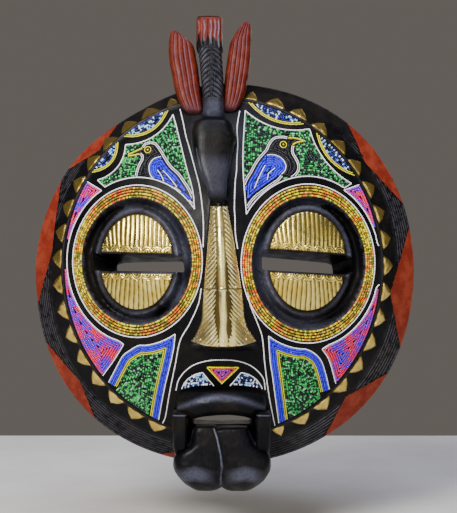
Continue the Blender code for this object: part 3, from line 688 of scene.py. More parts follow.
def ring_panel(side):
    """Five or six strands round the eye, the outermost a white string."""
    outer, inner, centre = (EYES[side][key] for key in ("outer", "inner", "ring"))
    beads = Beads()
    strands = 6 if min(outer[0] - inner[0], outer[1] - inner[1]) > 11 else 5
    width = np.clip((outer[1] - inner[1]) / strands / BEAD_ROW, 0.85, 1.05)
    for k in range(strands):
        share = (k + 0.5) / strands
        path = oval(centre, [outer[i] - (outer[i] - inner[i]) * share for i in (0, 1)], 700)
        colour, size = (RINGS, 0.88) if k else (plain("white"), WHITE_SIZE)
        beads.row([np.vstack([path, path[:1]])], colour, 0.9, width, size)
    beads.build("beads_ring_" + side, ["bead_ring_" + side])


def facing_in(points):
    """A dense closed path with its inside on the left."""
    path = smooth(points, 0.5, corner=60)
    x, z = path.T
    return path if (x * np.roll(z, -1) - np.roll(x, -1) * z).sum() > 0 else path[::-1]


def drawn_bird(head, breast, shoulder, upper, lower, beak, eye, feathers):
    """A little folk bird: black body, blue wing, white outlines, yellow beak and eye."""
    body = facing_in(head + shoulder + breast[::-1] + beak[1] + beak[0][-2::-1])
    wing = facing_in(shoulder + lower + upper)
    below = facing_in(lower + [(x, z - 16.0) for x, z in lower[::-1]])

    def draw(beads, outline):
        def shown(path, room=1.0):
            return split_chain(path, within(outline, path) & (distance(path, outline) > room))

        def beaded(lines, colour, aside=0.0, size=WHITE_SIZE):
            for line in lines:
                path = smooth(line, 0.4, False)
                step = np.gradient(path, axis=0)
                step /= np.linalg.norm(step, axis=1)[:, None]
                path = path + np.column_stack([-step[:, 1], step[:, 0]]) * aside
                beads.row(shown(path), colour, room=1.25, size=size)

        x, z = eye
        beads.row([oval(eye, (3.1, 3.1), 41)], plain("yellow"), room=0.8, size=0.4)
        beads.row([np.array([(x - 1.0, z), (x, z), (x + 1.0, z)])], plain("yellow"), room=0.8, size=0.75)
        beaded(beak, speckle({"yellow": 3, "lemon": 2}), size=0.75)
        for aside in (-0.8, 0.8):
            beaded([head, breast, upper, lower], plain("white"), aside, THIN)
        beaded([shoulder] + feathers, plain("white"), 0.0, 0.48)
        blues, blacks = speckle({"blue": 4, "cobalt": 1.2}), speckle({"black": 3, "ink": 1})
        for path, fill in ((wing, blues), (body, blacks)):
            for row in offset_rows(path, path, first=1.9):
                beads.row(sum([shown(chain, 2.2) for chain in row], []), fill, room=1.5)
        return lambda points: within(body, points) | within(wing, points) | within(below, points)

    return draw


BIRD_LEFT = drawn_bird(
    head=[(-78.8, 120.2), (-76.2, 123.6), (-71.5, 124.6), (-66.8, 123.7), (-63.5, 119.7), (-60.3, 115),
          (-57.9, 110.6)],
    breast=[(-81, 114), (-78.7, 111.5), (-79, 107.5), (-81, 103.6), (-83, 98.2), (-84, 93.5), (-84.4, 87)],
    shoulder=[(-60.5, 110.4), (-67, 108.6), (-70.8, 104.4), (-71.8, 99.8), (-70.9, 94.3), (-68.8, 90),
              (-63.3, 87.5)],
    upper=[(-29.7, 70), (-33.3, 77.8), (-38.1, 85.4), (-43.6, 93), (-51.4, 100.8), (-57.9, 110.6)],
    lower=[(-54, 83.4), (-44, 77.3), (-36.9, 70.5), (-30, 64.2)],
    beak=[[(-79.1, 119.5), (-86, 116.3), (-93.2, 113.5)], [(-81.9, 113.7), (-87.9, 112.5), (-93, 112)]],
    eye=(-73.7, 117.6),
    feathers=[[(-63.6, 97.3), (-59.8, 91.8), (-57.3, 86.1)],
              [(-58.3, 96.6), (-51.4, 89.2), (-45.8, 81.9), (-42.6, 78)]])
BIRD_RIGHT = drawn_bird(
    head=[(60, 129.4), (54.6, 130), (48.5, 129), (44.6, 126), (41.5, 121.2), (39.9, 117.2), (36, 112.3)],
    breast=[(65.4, 121.6), (64.4, 117.6), (65.2, 113), (68.2, 107.5), (70, 102.2), (69.4, 96.8), (67, 93.2),
            (63, 90)],
    shoulder=[(39.8, 111.5), (45.2, 112), (51.3, 110.2), (55.8, 106.5), (58, 101.1), (56.7, 96.5),
              (52.4, 92.1)],
    upper=[(17.9, 68), (17.9, 76), (18.5, 83), (20.7, 88.3), (24.5, 94.5), (27.6, 100.6), (31.5, 106.9),
           (36, 112.3)],
    lower=[(53.6, 91.6), (50.4, 87.8), (46, 84.6), (40, 80.2), (33.6, 75.4), (28, 70.8), (23.6, 65.6),
           (19.8, 59.4)],
    beak=[[(60.9, 129.3), (68, 129.2), (77, 126.9)], [(65, 122.6), (69.6, 125.2), (75.6, 126.4)]],
    eye=(55.9, 122.4),
    feathers=[[(38, 101.4), (34.5, 94.8), (30.6, 86.4), (27.5, 78.8)],
              [(47.4, 99), (44.4, 96.6), (41, 93.4), (39.8, 87.3)]])


def fan_foot(path):
    """The lower side of a lip fan, which has no white string."""
    return path[:, 1] < -107.0 - np.maximum(np.abs(path[:, 0] + 2.7) - 16.0, 0) * 0.14


def bead_panels():
    white, yellow = (plain("white"), WHITE_SIZE), (speckle({"yellow": 3, "lemon": 2}), YELLOW_SIZE)
    fine, thread = (speckle({"yellow": 3, "lemon": 3}), 0.5), (plain("black"), 0.3)
    blue, orange = (speckle({"blue": 5, "cobalt": 1}), 0.95), (speckle({"orange": 1, "red": 2}), YELLOW_SIZE)
    for side, bird, greens in (("left", BIRD_LEFT, GREENS), ("right", BIRD_RIGHT, DARK_GREENS)):
        ring_panel(side)
        panel("bead_forehead_" + side, [white], greens, bird=bird)
        panel("bead_cheek_" + side, [white] + [blue] * 3 + [fine, thread, fine], GREENS, on_rim)
        panel("bead_lip_fan_" + side, [white], PALES, fan_foot)
        for level in ("upper", "lower"):
            panel(f"bead_lens_{level}_{side}", [fine, thread, fine], NAVIES, on_rim)
    for name in ("left", "upper_right", "lower_right"):
        panel("bead_crescent_" + name, [white], PINKS, on_rim)
    panel("bead_lip_triangle", [yellow, orange], speckle({"purple": 3, "magenta": 1}))


STRINGS = {
    "upper_left": [(-43.6, 158.5), (-40.2, 145), (-37, 130), (-34.3, 121), (-31.2, 110), (-28.2, 99),
                   (-24.2, 84), (-22.4, 74), (-20.9, 62), (-19.8, 50), (-19.5, 40), (-19.8, 24)],
    "upper_right": [(14.4, 156), (12.4, 145), (11.7, 135), (12.2, 122), (11.2, 105), (11, 95),
                    (10, 88), (9.3, 75), (9, 60), (9.5, 50), (10, 35), (12, 22.4)],
    "lower_left": [(-21.5, -14), (-24.2, -28.2), (-32.6, -47), (-41.2, -62.2), (-46.4, -85.5), (-52.6, -114),
                   (-57.6, -140), (-60.6, -147)],
    "lower_right": [(20.6, -14), (23.3, -28.2), (30.2, -46), (34.8, -59.3), (37.4, -83.4), (41.6, -114),
                    (46.6, -140), (48.6, -149)],
    "lip": [(-46.5, -112), (-43, -100), (-32, -88), (-18, -82.4), (-2.8, -81), (13, -82.4),
            (26, -88), (36, -99), (38.4, -111)],
}


def single_strings():
    """White strings laid straight on the dark wood beside the nose, mouth and brow."""
    for name, points in STRINGS.items():
        beads = Beads()
        beads.row([smooth(points, 0.5, False)], speckle({"white": 5, "cream": 1}), size=WHITE_SIZE)
        beads.build("white_string_" + name, [])


# ---------------------------------------------------------------- brass

def sheet(name, node, spacing, relief, material):
    """A thin closed plate over a CAD plate's outline; relief gives its embossing at (x, z, inset)."""
    outline = smooth(node_outline(node), spacing)
    centre = outline.mean(0)
    grid = hex_grid(np.linalg.norm(outline - centre, axis=1).max() + spacing, spacing) + centre
    plan, tris = plan_mesh([outline], grid[within(outline, grid)], spacing)
    used, tris = np.unique(tris[within(outline, plan[tris].mean(1))], return_inverse=True)
    tris = tris.reshape(-1, 3)
    plan = plan[used]
    x, z = plan.T
    inset = distance(plan, smooth(node_outline(node), 0.3))
    inset[inset < 0.16] = 0
    rise = relief(x, z, inset)
    top = front(x, z) + SKIN_GAP + 0.25 + (BRASS_THICK - 0.25) * unit(inset) + rise * unit(inset)
    verts = np.vstack([to_world(x, top, z), to_world(x, front(x, z) + 0.05, z)])
    count = len(plan)
    sides = np.vstack([tris[:, [0, 1]], tris[:, [1, 2]], tris[:, [2, 0]]])
    a, b = sides.T
    a, b = sides[~np.isin(a * count + b, b * count + a)].T
    walls = np.column_stack([b, a, a + count, b + count])
    made = make_mesh(name, verts, [tris, tris[:, ::-1] + count, walls], [material])
    level = (rise - rise.min()) / (rise.max() - rise.min() + 1e-6)
    set_values(made, relief=np.concatenate([level, np.zeros(count)]))
    dress(made, [node])


def lid_relief(side):
    """Upright flutes with a row of double arcs along the slit."""
    eye = EYES[side]
    a, b, c, d = eye["slit"]

    def relief(x, z, inset):
        top = a[1] + (b[1] - a[1]) * (x - a[0]) / (b[0] - a[0])
        low = d[1] + (c[1] - d[1]) * (x - d[0]) / (c[0] - d[0])
        off = np.where(z > (top + low) / 2, z - top, low - z)
        across = x - eye["ball"][0]
        fanned = across * (1 - np.clip(off, 0, 45) / 300) + 0.5 * np.sin(z / 9.0 + across / 8.0)
        flutes = 0.85 * (1 - stripe(fanned, 4.1, 1.9) ** 1.4) + 0.06 * ripple(x, z, 7.0, 61)
        reach = np.hypot((across + 5.1) % 10.2 - 5.1, off - 2.2)
        arcs = bell(reach - 4.75, 0.85, 4) + bell(reach - 2.6, 0.75, 4) + (reach < 1.0) * 0.5
        return np.where(reach < 5.9, 0.85 * arcs, flutes) * unit(inset / 0.9)

    return relief


def nose_emboss(x, z, inset):
    """A plain rib down the ridge and herring-bone lines running down beside it."""
    centre, half = nose_line(z)
    side = np.abs(x - centre)
    u = side / half
    chased = -0.75 * stripe(z + side * 1.05, 4.2, 1.3) * (side > 4.0) * unit((0.98 - u) * 6)
    chased -= 0.4 * bell(side - 4.4, 0.6)
    chased = np.where(z > -40, chased, 0.45 * chased)
    ring = np.hypot((u - 0.62) * half / 9.0, (z + 55.0) / 12.0)
    nostril = -0.35 * bell((ring - 1) * 3.2, 1) * (z < -38)
    flat = 1.5 * unit((front(x, z) - 110.0) / 6.0)
    return bell(side, 3.4, 4) * 0.75 + chased + nostril + 0.2 * ripple(x, z, 17.0, 11) - flat


def pillow(seed):
    """A soft bulge with small dents of its own."""
    return lambda x, z, inset: 0.9 * (1 - np.exp(-inset / 1.6)) + 0.22 * ripple(x, z, 9.0, seed)


def brass_work():
    bright = brass("brass_bright", (0.84, 0.68, 0.19), (0.64, 0.47, 0.09), (0.07, 0.042, 0.007))
    nose = brass("brass_nose", (0.99, 0.88, 0.44), (0.86, 0.70, 0.24), (0.08, 0.048, 0.008))
    dull = brass("brass_dull", (0.78, 0.58, 0.15), (0.50, 0.34, 0.065), (0.14, 0.09, 0.018))
    for side in EYES:
        for half in ("upper", "lower"):
            sheet(f"brass_lid_{half}_{side}", f"eye_plate_{half}_{side}", 0.75, lid_relief(side), bright)
    for half in ("upper", "lower"):
        sheet("brass_nose_" + half, "nose_plate_" + half, 0.75, nose_emboss, nose)
    for node in sorted(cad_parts):
        if node.startswith("rim_triangle"):
            sheet("brass_" + node, node, 0.95, pillow(int(node[-2:]) + 50 * ("left" in node)), dull)


def nails():
    """Small brass tacks that hold the nose plates."""
    spots = ((-5.1, 42.2), (-1.5, -10.6), (-0.6, -61.6), (-22.4, -61.0), (20.0, -60.6), (10.3, -12.4),
             (-13.0, -12.4), (-8.6, 58.2), (-1.0, 57.4))
    around, rings, radius = 12, 4, 1.25
    material = brass("tack_brass", (0.78, 0.62, 0.26), (0.50, 0.38, 0.14), (0.10, 0.06, 0.02))
    turns = [2 * math.pi * i / around for i in range(around)]
    polars = [math.pi / 2 * k / (rings - 0.6) for k in range(rings)]
    verts, quads = [], []
    for x, z in spots:
        base = min(float(front(np.array([x]), np.array([z]))[0]) + 1.15, TACK_LIMIT)
        low = len(verts)
        for k, polar in enumerate(polars):
            r, level = radius * math.cos(polar), base + 0.9 * math.sin(polar) * radius - (k == 0) * 0.8
            verts += [(x + r * math.cos(turn), level, z + r * math.sin(turn)) for turn in turns]
        top = low + (rings - 1) * around
        quads += [(a + i, a + (i + 1) % around, a + around + (i + 1) % around, a + around + i)
                  for a in range(low, top, around) for i in range(around)]
        for i in range(1, around - 2, 2):
            quads += [(top, top + i, top + i + 1, top + i + 2), (low, low + i + 2, low + i + 1, low + i)]
    verts = np.array(verts)
    made = make_mesh("brass_tacks", to_world(*verts.T), [np.array(quads)], [material])
    set_values(made, relief=np.ones(len(verts)))
    dress(made, [])


# ---------------------------------------------------------------- carved wood: the disc

RED_ZONES = (      # angle of the tip, angles of both base corners, radius of the tip
    (-45.9, -59, -31.5, 170.7), (-7.2, -23.4, 14, 163.5), (37.8, 20.7, 50.9, 175.5),
    (135.9, 125.5, 147.2, 172.1), (173.7, 150.3, 190.3, 171.6), (216.9, 201, 228.6, 179.5),
    (267, 250, 284, 172),
)
GROOVE_FOOT = ((-90, 172.5), (-45.9, 171.5), (-7.2, 168.5), (37.8, 174.5), (88, 175.5),
               (135.9, 172.6), (173.7, 171.8), (216.9, 177), (270, 172.5))
GROOVE_CLEAR = ((-90, 1), (38, 1), (56, 0.25), (118, 0.25), (136, 1), (270, 1))
GROOVES, GROOVE_DEEP, GROOVE_HALF = 7, 1.0, 0.3
EDGE_ROUND = 1.7


def polar(turn, radius):
    turn = math.radians(turn)
    return np.array([math.cos(turn), math.sin(turn)]) * radius


def red_inside(x, z):
    """Signed distance, in millimetres, into the red triangles along the brim's edge."""
    best = np.full_like(x, -9.0)
    for turn, start, end, radius in RED_ZONES:
        tip = polar(turn, radius)
        inside = np.full_like(x, 3.0)
        for foot, sign in ((start, 1), (end, -1)):
            along = polar(foot, eased(RIM, foot)) - tip
            along /= np.linalg.norm(along)
            inside = np.minimum(inside, sign * ((z - tip[1]) * along[0] - (x - tip[0]) * along[1]))
        best = np.maximum(best, inside)
    return best


def groove_place(x, z):
    """Counts the carved arcs outwards: 0 at the foot of the first and GROOVES at the brim's edge."""
    turn = bearing(x, z)
    foot = eased(GROOVE_FOOT, turn)
    return (np.hypot(x, z) - foot) / (eased(RIM, turn) - EDGE_ROUND - foot) * GROOVES


def groove_share(x, z):
    """How clearly the arcs are carved: not at all in the red zones and by the brass triangles."""
    fade = unit((-red_inside(x, z) - 0.6) / 1.6)
    fade *= unit((ratio(x, z, FACE_CENTRE, FACE_SEMI) - 1.068) / 0.012)
    place = groove_place(x, z)
    return fade * eased(GROOVE_CLEAR, bearing(x, z)) * ((place > 0) & (place < GROOVES))


def brim_arcs(x, z):
    """How deep the arcs between the red zones are cut, and how sharp their ridges are, 0 to 1."""
    across = np.abs(groove_place(x, z) % 1 - 0.5)
    share = groove_share(x, z)
    return unit(1 - across / GROOVE_HALF) * share, unit((across - 0.3) / 0.12) * share


def slit_reach(x, z):
    """Distance outside the nearest eye slit."""
    best = np.full_like(x, 99.0)
    for eye in EYES.values():
        near = np.abs(x - eye["ball"][0]) < 60
        best[near] = distance(np.column_stack([x, z])[near], smooth(eye["slit"], 0.8, corner=30))
    return best


def carved_front(x, z):
    """The smooth front with its brim grooves, edge moulding and the raised frames of the slits."""
    moulding = 1.1 * bell((ratio(x, z, FACE_CENTRE, FACE_SEMI) - 1.0) * 158.0, 1.25, 4)
    frames = sum(unit((ratio(x, z, eye["ball"], eye["lid_semi"]) - 1.03) / 0.04)
                 * (ratio(x, z, eye["ring"], eye["inner"]) < 0.97) for eye in EYES.values())
    frames = frames * (2.6 * bell(slit_reach(x, z), 3.4))
    return front(x, z) + moulding + frames - GROOVE_DEEP * brim_arcs(x, z)[0]


def opening(corners, grown, radius=3.0, count=6):
    """The dense edge of a four-cornered opening with round corners, grown outwards."""
    corners = np.array(corners)
    corners = corners + np.sign(corners - corners.mean(0)) * grown
    points = []
    for i, corner in enumerate(corners):
        into = corner - corners[i - 1]
        out = corners[(i + 1) % len(corners)] - corner
        start = corner - into / np.linalg.norm(into) * (radius + grown)
        end = corner + out / np.linalg.norm(out) * (radius + grown)
        points += [(1 - t) ** 2 * start + 2 * t * (1 - t) * corner + t ** 2 * end
                   for t in np.linspace(0, 1, count)]
    return smooth(points, 1.6, corner=80)


def meets_back(loop, blind):
    """Where the walls that start on a loop come out of the hollow."""
    levels = np.linspace(125.0, 15.0, 111)
    deep = loop.copy()
    if blind is not None:
        inner, outer = sorted((loop[:, 0].min(), loop[:, 0].max()), reverse=blind < 0)
        deep[:, 0] = inner + (loop[:, 0] - inner) * (blind - inner) / (outer - inner)
        floor, ceiling = loop[:, 1].min(), loop[:, 1].max()
        deep[:, 1] -= SLIT_DROP * (loop[:, 1] - floor) / (ceiling - floor)
    share = (levels[0] - levels) / (levels[0] - levels[-1])
    track = loop[:, None] + (deep - loop)[:, None] * share[None, :, None]
    under = levels[None] <= back(track[..., 0], track[..., 1])
    first = np.where(under.any(1), under.argmax(1), len(levels) - 1)
    return track[np.arange(len(loop)), first]


def gouged(x, z):
    """The hollow back with the marks of a wide gouge."""
    q = ratio(x, z, HOLLOW_CENTRE, HOLLOW_SEMI)
    lane = (x + 3.0 * np.sin(z / 31.0)) / 9.0
    number = np.floor(lane)
    cut = 1 - (2 * (lane - number) - 1) ** 2
    stroke = (z / 26.0 + 0.37 * number) % 1
    depth = 0.7 * cut * (0.55 + 0.45 * stroke) * unit((1 - q) / 0.03)
    return np.maximum(back(x, z) + depth, 0)


def open_plan(loops, cuts, grid, spacing):
    """A plan's mesh with some loops cut out."""
    plan, tris = plan_mesh(loops, grid, spacing)
    for loop in cuts:
        tris = tris[~within(loop, plan[tris].mean(1))]
    return plan, tris


def disc_front(circle, rim, edge, cuts, bevels):
    """The carved front in plan, with lines of vertices along everything that has an edge."""
    foot = eased(GROOVE_FOOT, bearing(*circle.T))[:, None]
    steps = [k + 0.5 + off for k in range(GROOVES) for off in (-GROOVE_HALF, 0, GROOVE_HALF)] + [GROOVES]
    loops = [circle * (foot + (rim - EDGE_ROUND - foot) * step / GROOVES) for step in steps] + [edge]
    loops += [oval(FACE_CENTRE, (FACE_SEMI[0] + o, FACE_SEMI[1] + o), 560) for o in (-1.9, -1.2, 0, 1.2, 1.9)]
    for eye in EYES.values():
        loops += [oval(eye["ring"], eye["inner"], 190), oval(eye["ball"], eye["ball_semi"], 190)]
    for pair in zip(bevels, cuts):
        loops += pair
    grid = hex_grid(180, FRONT_GRID)
    return open_plan(loops, cuts, grid[groove_place(*grid.T) < -0.1], FRONT_GRID)


def disc_back(edge, cuts):
    """The hollow back in plan, and the heights of its vertices."""
    hollow = [oval(HOLLOW_CENTRE, (HOLLOW_SEMI[0] * s, HOLLOW_SEMI[1] * s), 420) for s in (1.012, 1.0, 0.988)]
    pocket = [opening(RECESS, grown, 2.0) for grown in (0.0, -0.3)]
    grid = hex_grid(197, BACK_GRID)
    grid = grid[np.hypot(*grid.T) < eased(RIM, bearing(*grid.T)) - 3.5]
    plan, tris = open_plan([edge] + hollow + pocket + cuts, cuts, grid, BACK_GRID)
    sunk = within(pocket[1], plan) | (distance(plan, pocket[1]) < 0.02)
    floor = RECESS_DEEP + 0.25 * ripple(*plan.T, 8.0, 9)
    return plan, tris, np.where(sunk, floor, gouged(*plan.T))


def wood_disc(paint, stain):
    """The whole carved disc as one closed mesh with its eye slits and mouth cut through."""
    edges = [eye["slit"] for eye in EYES.values()] + [MOUTH]
    blinds = [eye["blind"] for eye in EYES.values()] + [None]
    bevels, cuts = ([opening(corners, grown) for corners in edges] for grown in (1.1, 0.0))
    circle = oval((0, 0), (1, 1), TURN_STEPS)
    rim = eased(RIM, np.arange(TURN_STEPS) * 360 / TURN_STEPS)[:, None]
    front_edge, back_edge = circle * (rim - 0.5), circle * (rim - 2.0)
    plan, tris = disc_front(circle, rim, front_edge, cuts, bevels)
    height = carved_front(*plan.T)
    for loop in cuts:
        height[distance(plan, loop) < 0.02] -= 1.0
    exits = [meets_back(loop, blind) for loop, blind in zip(cuts, blinds)]
    back_plan, back_tris, back_height = disc_back(back_edge, exits)
    top = to_world(plan[:, 0], height, plan[:, 1])
    low = to_world(back_plan[:, 0], back_height, back_plan[:, 1])
    parts, quads = [top], []

    def added(rows):
        parts.append(rows)
        return sum(map(len, parts[:-1])) + np.arange(len(rows))

    def walls(rings, order):
        for upper, lower in zip(rings, rings[1:]):
            quads.append(np.column_stack([upper, lower, np.roll(lower, -1), np.roll(upper, -1)])[:, order])

    wander = rim + (0.3 * ripple(*(circle.T * 190), 60.0, 21) - 0.35)[:, None]
    rings = [nearest_ids(plan, front_edge)]
    for less, level in ((0.0, BRIM_EDGE - 1.6), (0.0, BRIM_EDGE * 0.5), (0.0, 1.2), (1.0, 0.0)):
        x, z = (circle * (wander - less)).T
        rings.append(added(to_world(x, np.full(TURN_STEPS, level), z)))
    low_ids = added(low)
    walls(rings + [low_ids[nearest_ids(back_plan, back_edge)]], (0, 1, 2, 3))
    for loop, far_loop in zip(cuts, exits):
        near, far = nearest_ids(plan, loop), nearest_ids(back_plan, far_loop)
        drop = low[far] - top[near]
        between = [added(top[near] + drop * share) for share in (0.04, 0.25, 0.5, 0.75, 0.96)]
        walls([near] + between + [low_ids[far]], (0, 3, 2, 1))
    verts, quads = np.vstack(parts), np.vstack(quads)
    kind = np.repeat([0, 1, 0], [len(tris), len(back_tris), len(quads)])
    faces = [np.vstack([tris, low_ids[back_tris[:, ::-1]]]), quads]
    made = make_mesh("wood_disc", verts, faces, [paint, stain], kind, crease=50)
    x, z, h = verts[:, 0] / MM, verts[:, 2] / MM - DISC_Z, -verts[:, 1] / MM
    red = np.where((h > 2.0) & (np.hypot(x, z) > 160.0), red_inside(x, z), -3.0)
    # Painted highlight: a lilac colour on the ridges between the brim's carved arcs.
    pale = 0.16 * brim_arcs(x, z)[1] * (h > 8.0) * (red < 0)
    # Painted sheen: a patchy bluish-lilac colour in the sockets between the beaded rings and the brass lids.
    for eye in EYES.values():
        inside = unit((1.0 - ratio(x, z, eye["ring"], eye["inner"])) / 0.08)
        inside *= unit((ratio(x, z, eye["ball"], eye["lid_semi"]) - 1.0) / 0.06) * (h > 60)
        pale += inside * unit(0.10 + 0.10 * ripple(x, z, 40.0, 71))
    set_values(made, red=red, wear=0.25 * unit((convexity(made.data) - 0.10) / 0.22), pale=pale)
    dress(made, ["mask_body"])


def nearest_ids(plan, loop):
    """The mesh vertices that a loop's points became."""
    tree = KDTree(len(plan))
    for i, spot in enumerate(plan.tolist()):
        tree.insert((*spot, 0), i)
    tree.balance()
    return np.array([tree.find((*spot, 0))[1] for spot in loop.tolist()])


# ---------------------------------------------------------------- carved wood: the lumps

def catmull(rows, count):
    """Dense rows through control rows of numbers."""
    rows = np.array(rows, float)
    padded = np.vstack([2 * rows[0] - rows[1], rows, 2 * rows[-1] - rows[-2]])
    t = np.linspace(0, len(rows) - 1, count)
    i = np.minimum(t.astype(int), len(rows) - 2)
    f = (t - i)[:, None]
    a, b, c, d = padded[i], padded[i + 1], padded[i + 2], padded[i + 3]
    square, cube = 2 * a - 5 * b + 4 * c - d, 3 * b - a - 3 * c + d
    return 0.5 * (2 * b + (c - a) * f + square * f ** 2 + cube * f ** 3)


def loft(name, sections, rows, around, power, relief, material, red=None, wear=0.3):
    """A closed lump through sections of (left x, left z, right x, right z, back, front height)."""
    fine = catmull(sections, rows)[:, None]
    turn = np.arange(around) * 2 * np.pi / around
    side = np.cos(turn)
    rise = np.sign(np.sin(turn)) * (1 - np.abs(side) ** (2 / power)).clip(0) ** (power / 2)
    left, right, low, high = fine[..., 0:2], fine[..., 2:4], fine[..., 4], fine[..., 5]
    spot = (left + right) / 2 + (right - left) / 2 * side[None, :, None]
    grid = np.dstack([spot[..., 0], (low + high) / 2 + (high - low) / 2 * rise, spot[..., 1]])
    normal = np.cross(np.gradient(grid, axis=0), np.roll(grid, -1, 1) - np.roll(grid, 1, 1))
    normal /= np.linalg.norm(normal, axis=2)[..., None] + 1e-9
    outward = (normal * (grid - grid.mean(1)[:, None])).sum() > 0
    if not outward:
        normal = -normal
    sides, v = np.broadcast_arrays(side, np.linspace(0, 1, rows)[:, None])
    push, pale = relief(grid[..., 0], grid[..., 1], grid[..., 2], sides, v)
    grid = grid + normal * push[..., None]
    verts = np.vstack([grid.reshape(-1, 3), grid[0].mean(0), grid[-1].mean(0)])
    i, j = np.arange(rows - 1)[:, None] * around, np.arange(around)
    k = (j + 1) % around
    quads = np.stack([i + j, i + k, i + around + k, i + around + j], -1).reshape(-1, 4)
    tip, last = np.full(around, rows * around), (rows - 1) * around
    fans = np.vstack([np.column_stack([tip, k, j]), np.column_stack([tip + 1, last + j, last + k])])
    if not outward:
        quads, fans = quads[:, ::-1], fans[:, ::-1]
    x, h, z = verts.T
    made = make_mesh(name, to_world(x, h, z), [fans, quads], [material], crease=48)
    flip_if_inside_out(made.data)
    wear = unit((convexity(made.data) - 0.05) / 0.16) * wear
    set_values(made, red=red(x, z) if red else np.full_like(x, -3.0), pale=np.append(pale, [0, 0]), wear=wear)
    dress(made, ["mask_body"])


def flip_if_inside_out(mesh):
    """Turns the faces round when the closed mesh has a negative volume."""
    mesh.calc_loop_triangles()
    corners = fetched(mesh.vertices, "co", 3)[fetched(mesh.loop_triangles, "vertices", 3, int)]
    a, b, c = corners.swapaxes(0, 1)
    if (a * np.cross(b, c)).sum() < 0:
        mesh.flip_normals()


def level(rows):
    """Level sections of a lump, from rows of (z, left, right, back, front)."""
    return [(left, z, right, z, low, high) for z, left, right, low, high in rows]


CREST = level((
    (251.1, -25, -6, 16, 32), (250.7, -27.3, -3.4, 11, 37), (246.5, -28, -1.8, 8, 41),
    (233, -28, -1.8, 7, 45), (220, -28, -1.8, 6, 48), (216, -26, -3, 5, 50), (203, -24.6, -2.2, 4, 55),
    (190, -23.5, -1.4, 4, 60), (176, -22, -1, 7, 65), (163, -21, -0.8, 10, 70), (154, -21.5, -0.4, 22, 74),
    (147, -22.5, 0.6, 30, 77), (144.6, -24.5, 3, 32, 84), (142, -30, 7, 34, 87), (134, -32, 9, 38, 90),
    (127, -31.8, 11.6, 42, 92), (120.5, -31.2, 9.4, 46, 93.4), (111, -29.6, 7.4, 52, 96),
    (100.7, -26.8, 5.6, 60, 99), (90, -22.6, 4, 66, 102), (80, -18.5, 2.5, 72, 104), (70, -14.6, 2, 78, 105),
    (64, -12, 0.6, 84, 100)))
WING_LEFT = [
    (-34.4, 152.4, -22.2, 152, 22, 48), (-40.2, 158, -20.8, 156.6, 17, 54),
    (-45.2, 167, -21.8, 165.4, 15, 53), (-49.2, 179.4, -23.8, 178.6, 14, 50),
    (-51.8, 193, -25.2, 191.4, 12, 47), (-54.4, 206.6, -27, 203.6, 11, 44), (-55.4, 218.2, -29, 215, 10, 41),
    (-54.8, 228.6, -30.6, 221.8, 10, 39), (-53.4, 235.6, -33, 225.4, 11, 37),
    (-49.8, 238.2, -38.8, 230, 12, 34)]
WING_RIGHT = [
    (0, 153.6, 9.2, 154.8, 22, 48), (-2.2, 158, 12.8, 159.2, 17, 54), (-2.2, 165.8, 17.2, 166.8, 15, 54),
    (-1.4, 175.2, 20.2, 176.2, 14, 52), (-0.4, 186.6, 22.4, 187, 12, 50), (0.8, 197.8, 24.2, 199, 12, 48),
    (2.4, 209.2, 25.4, 211.6, 11, 46), (3.8, 218.6, 25.8, 222.8, 10, 43), (5.2, 225, 26, 232.2, 10, 41),
    (8.6, 232.4, 25.9, 238.6, 11, 38), (13.6, 239.8, 25.2, 243.6, 12, 36), (18, 245.2, 22.8, 246.2, 14, 33)]
LIP = [(x, low, x, top, back, ahead) for x, low, top, back, ahead in (
    (-46.5, -133.6, -116, 46, 60), (-44, -134.6, -113.6, 44, 71), (-37, -137.4, -111.6, 44, 80),
    (-31, -138.6, -110.8, 44, 85.4), (-24, -137, -110.4, 44, 88.6), (-14, -135.4, -110.2, 44, 90),
    (-3, -134.6, -110.4, 44, 89.6), (9, -134.8, -110.2, 44, 90), (18, -136.2, -110.4, 44, 88.4),
    (25.6, -138.6, -111, 44, 84.6), (31, -138, -111.8, 44, 79.6), (37.5, -135, -113.6, 44, 71),
    (40, -134, -116, 46, 60))]


def post(x):
    """A mouth post between the lip and the lobes."""
    rows = ((-131.6, 6.6, 44, 80), (-132.6, 7.1, 38, 83.4), (-136, 7.2, 34, 84), (-145, 7.2, 28, 84.4),
            (-156, 7.2, 22, 83.6), (-166, 6.8, 16, 80), (-174, 4.4, 18, 72))
    return level([(z, x - half, x + half, low, high) for z, half, low, high in rows])


LOBE_DEPTHS = ((64, 75), (58, 78.5), (46, 80), (38, 81), (30, 82), (24, 83), (20, 83.6), (16, 84.4),
               (13, 85.4),
               (12.4, 86), (12.4, 82.4), (13.6, 78), (18, 72.6), (25, 66), (32, 59), (40, 52))
LOBES = {side: level([(*row, *depths) for row, depths in zip(rows, LOBE_DEPTHS)]) for side, rows in (
    ("left", ((-144.6, -26.4, -13), (-145.2, -28, -9), (-148, -29.8, -6.4), (-152, -31.2, -4),
              (-157, -32.2, -2), (-161.6, -33.4, -0.6), (-165.2, -38.6, 0.2), (-170.4, -46, 1),
              (-176, -48.8, 1.6), (-182.5, -49.4, 1.8), (-188, -48.2, 1.7), (-194, -44.8, 1.2),
              (-200, -39.8, 0.4), (-205, -34, -2.4), (-208.8, -28.4, -8.4), (-210.2, -22, -15))),
    ("right", ((-145.8, 2, 20), (-146.4, -4, 21.6), (-148.4, -11, 22.6), (-152, -11, 23.8),
               (-157.6, -10.2, 26.6), (-162.4, -9.4, 29.6), (-167, -8.4, 36.4), (-171.4, -7.6, 42),
               (-176, -7, 43.6), (-182.5, -6.4, 44), (-188, -6.6, 43.2), (-194, -7.2, 40.4),
               (-200, -7, 35.8), (-205, -3.8, 29.8), (-208.8, 2, 24), (-210.2, 9, 18))))}
SEAM = ((-201, -3.5), (-195, -3.8), (-182, -2.6), (-170, -3.9), (-156, -7), (-147, -10))


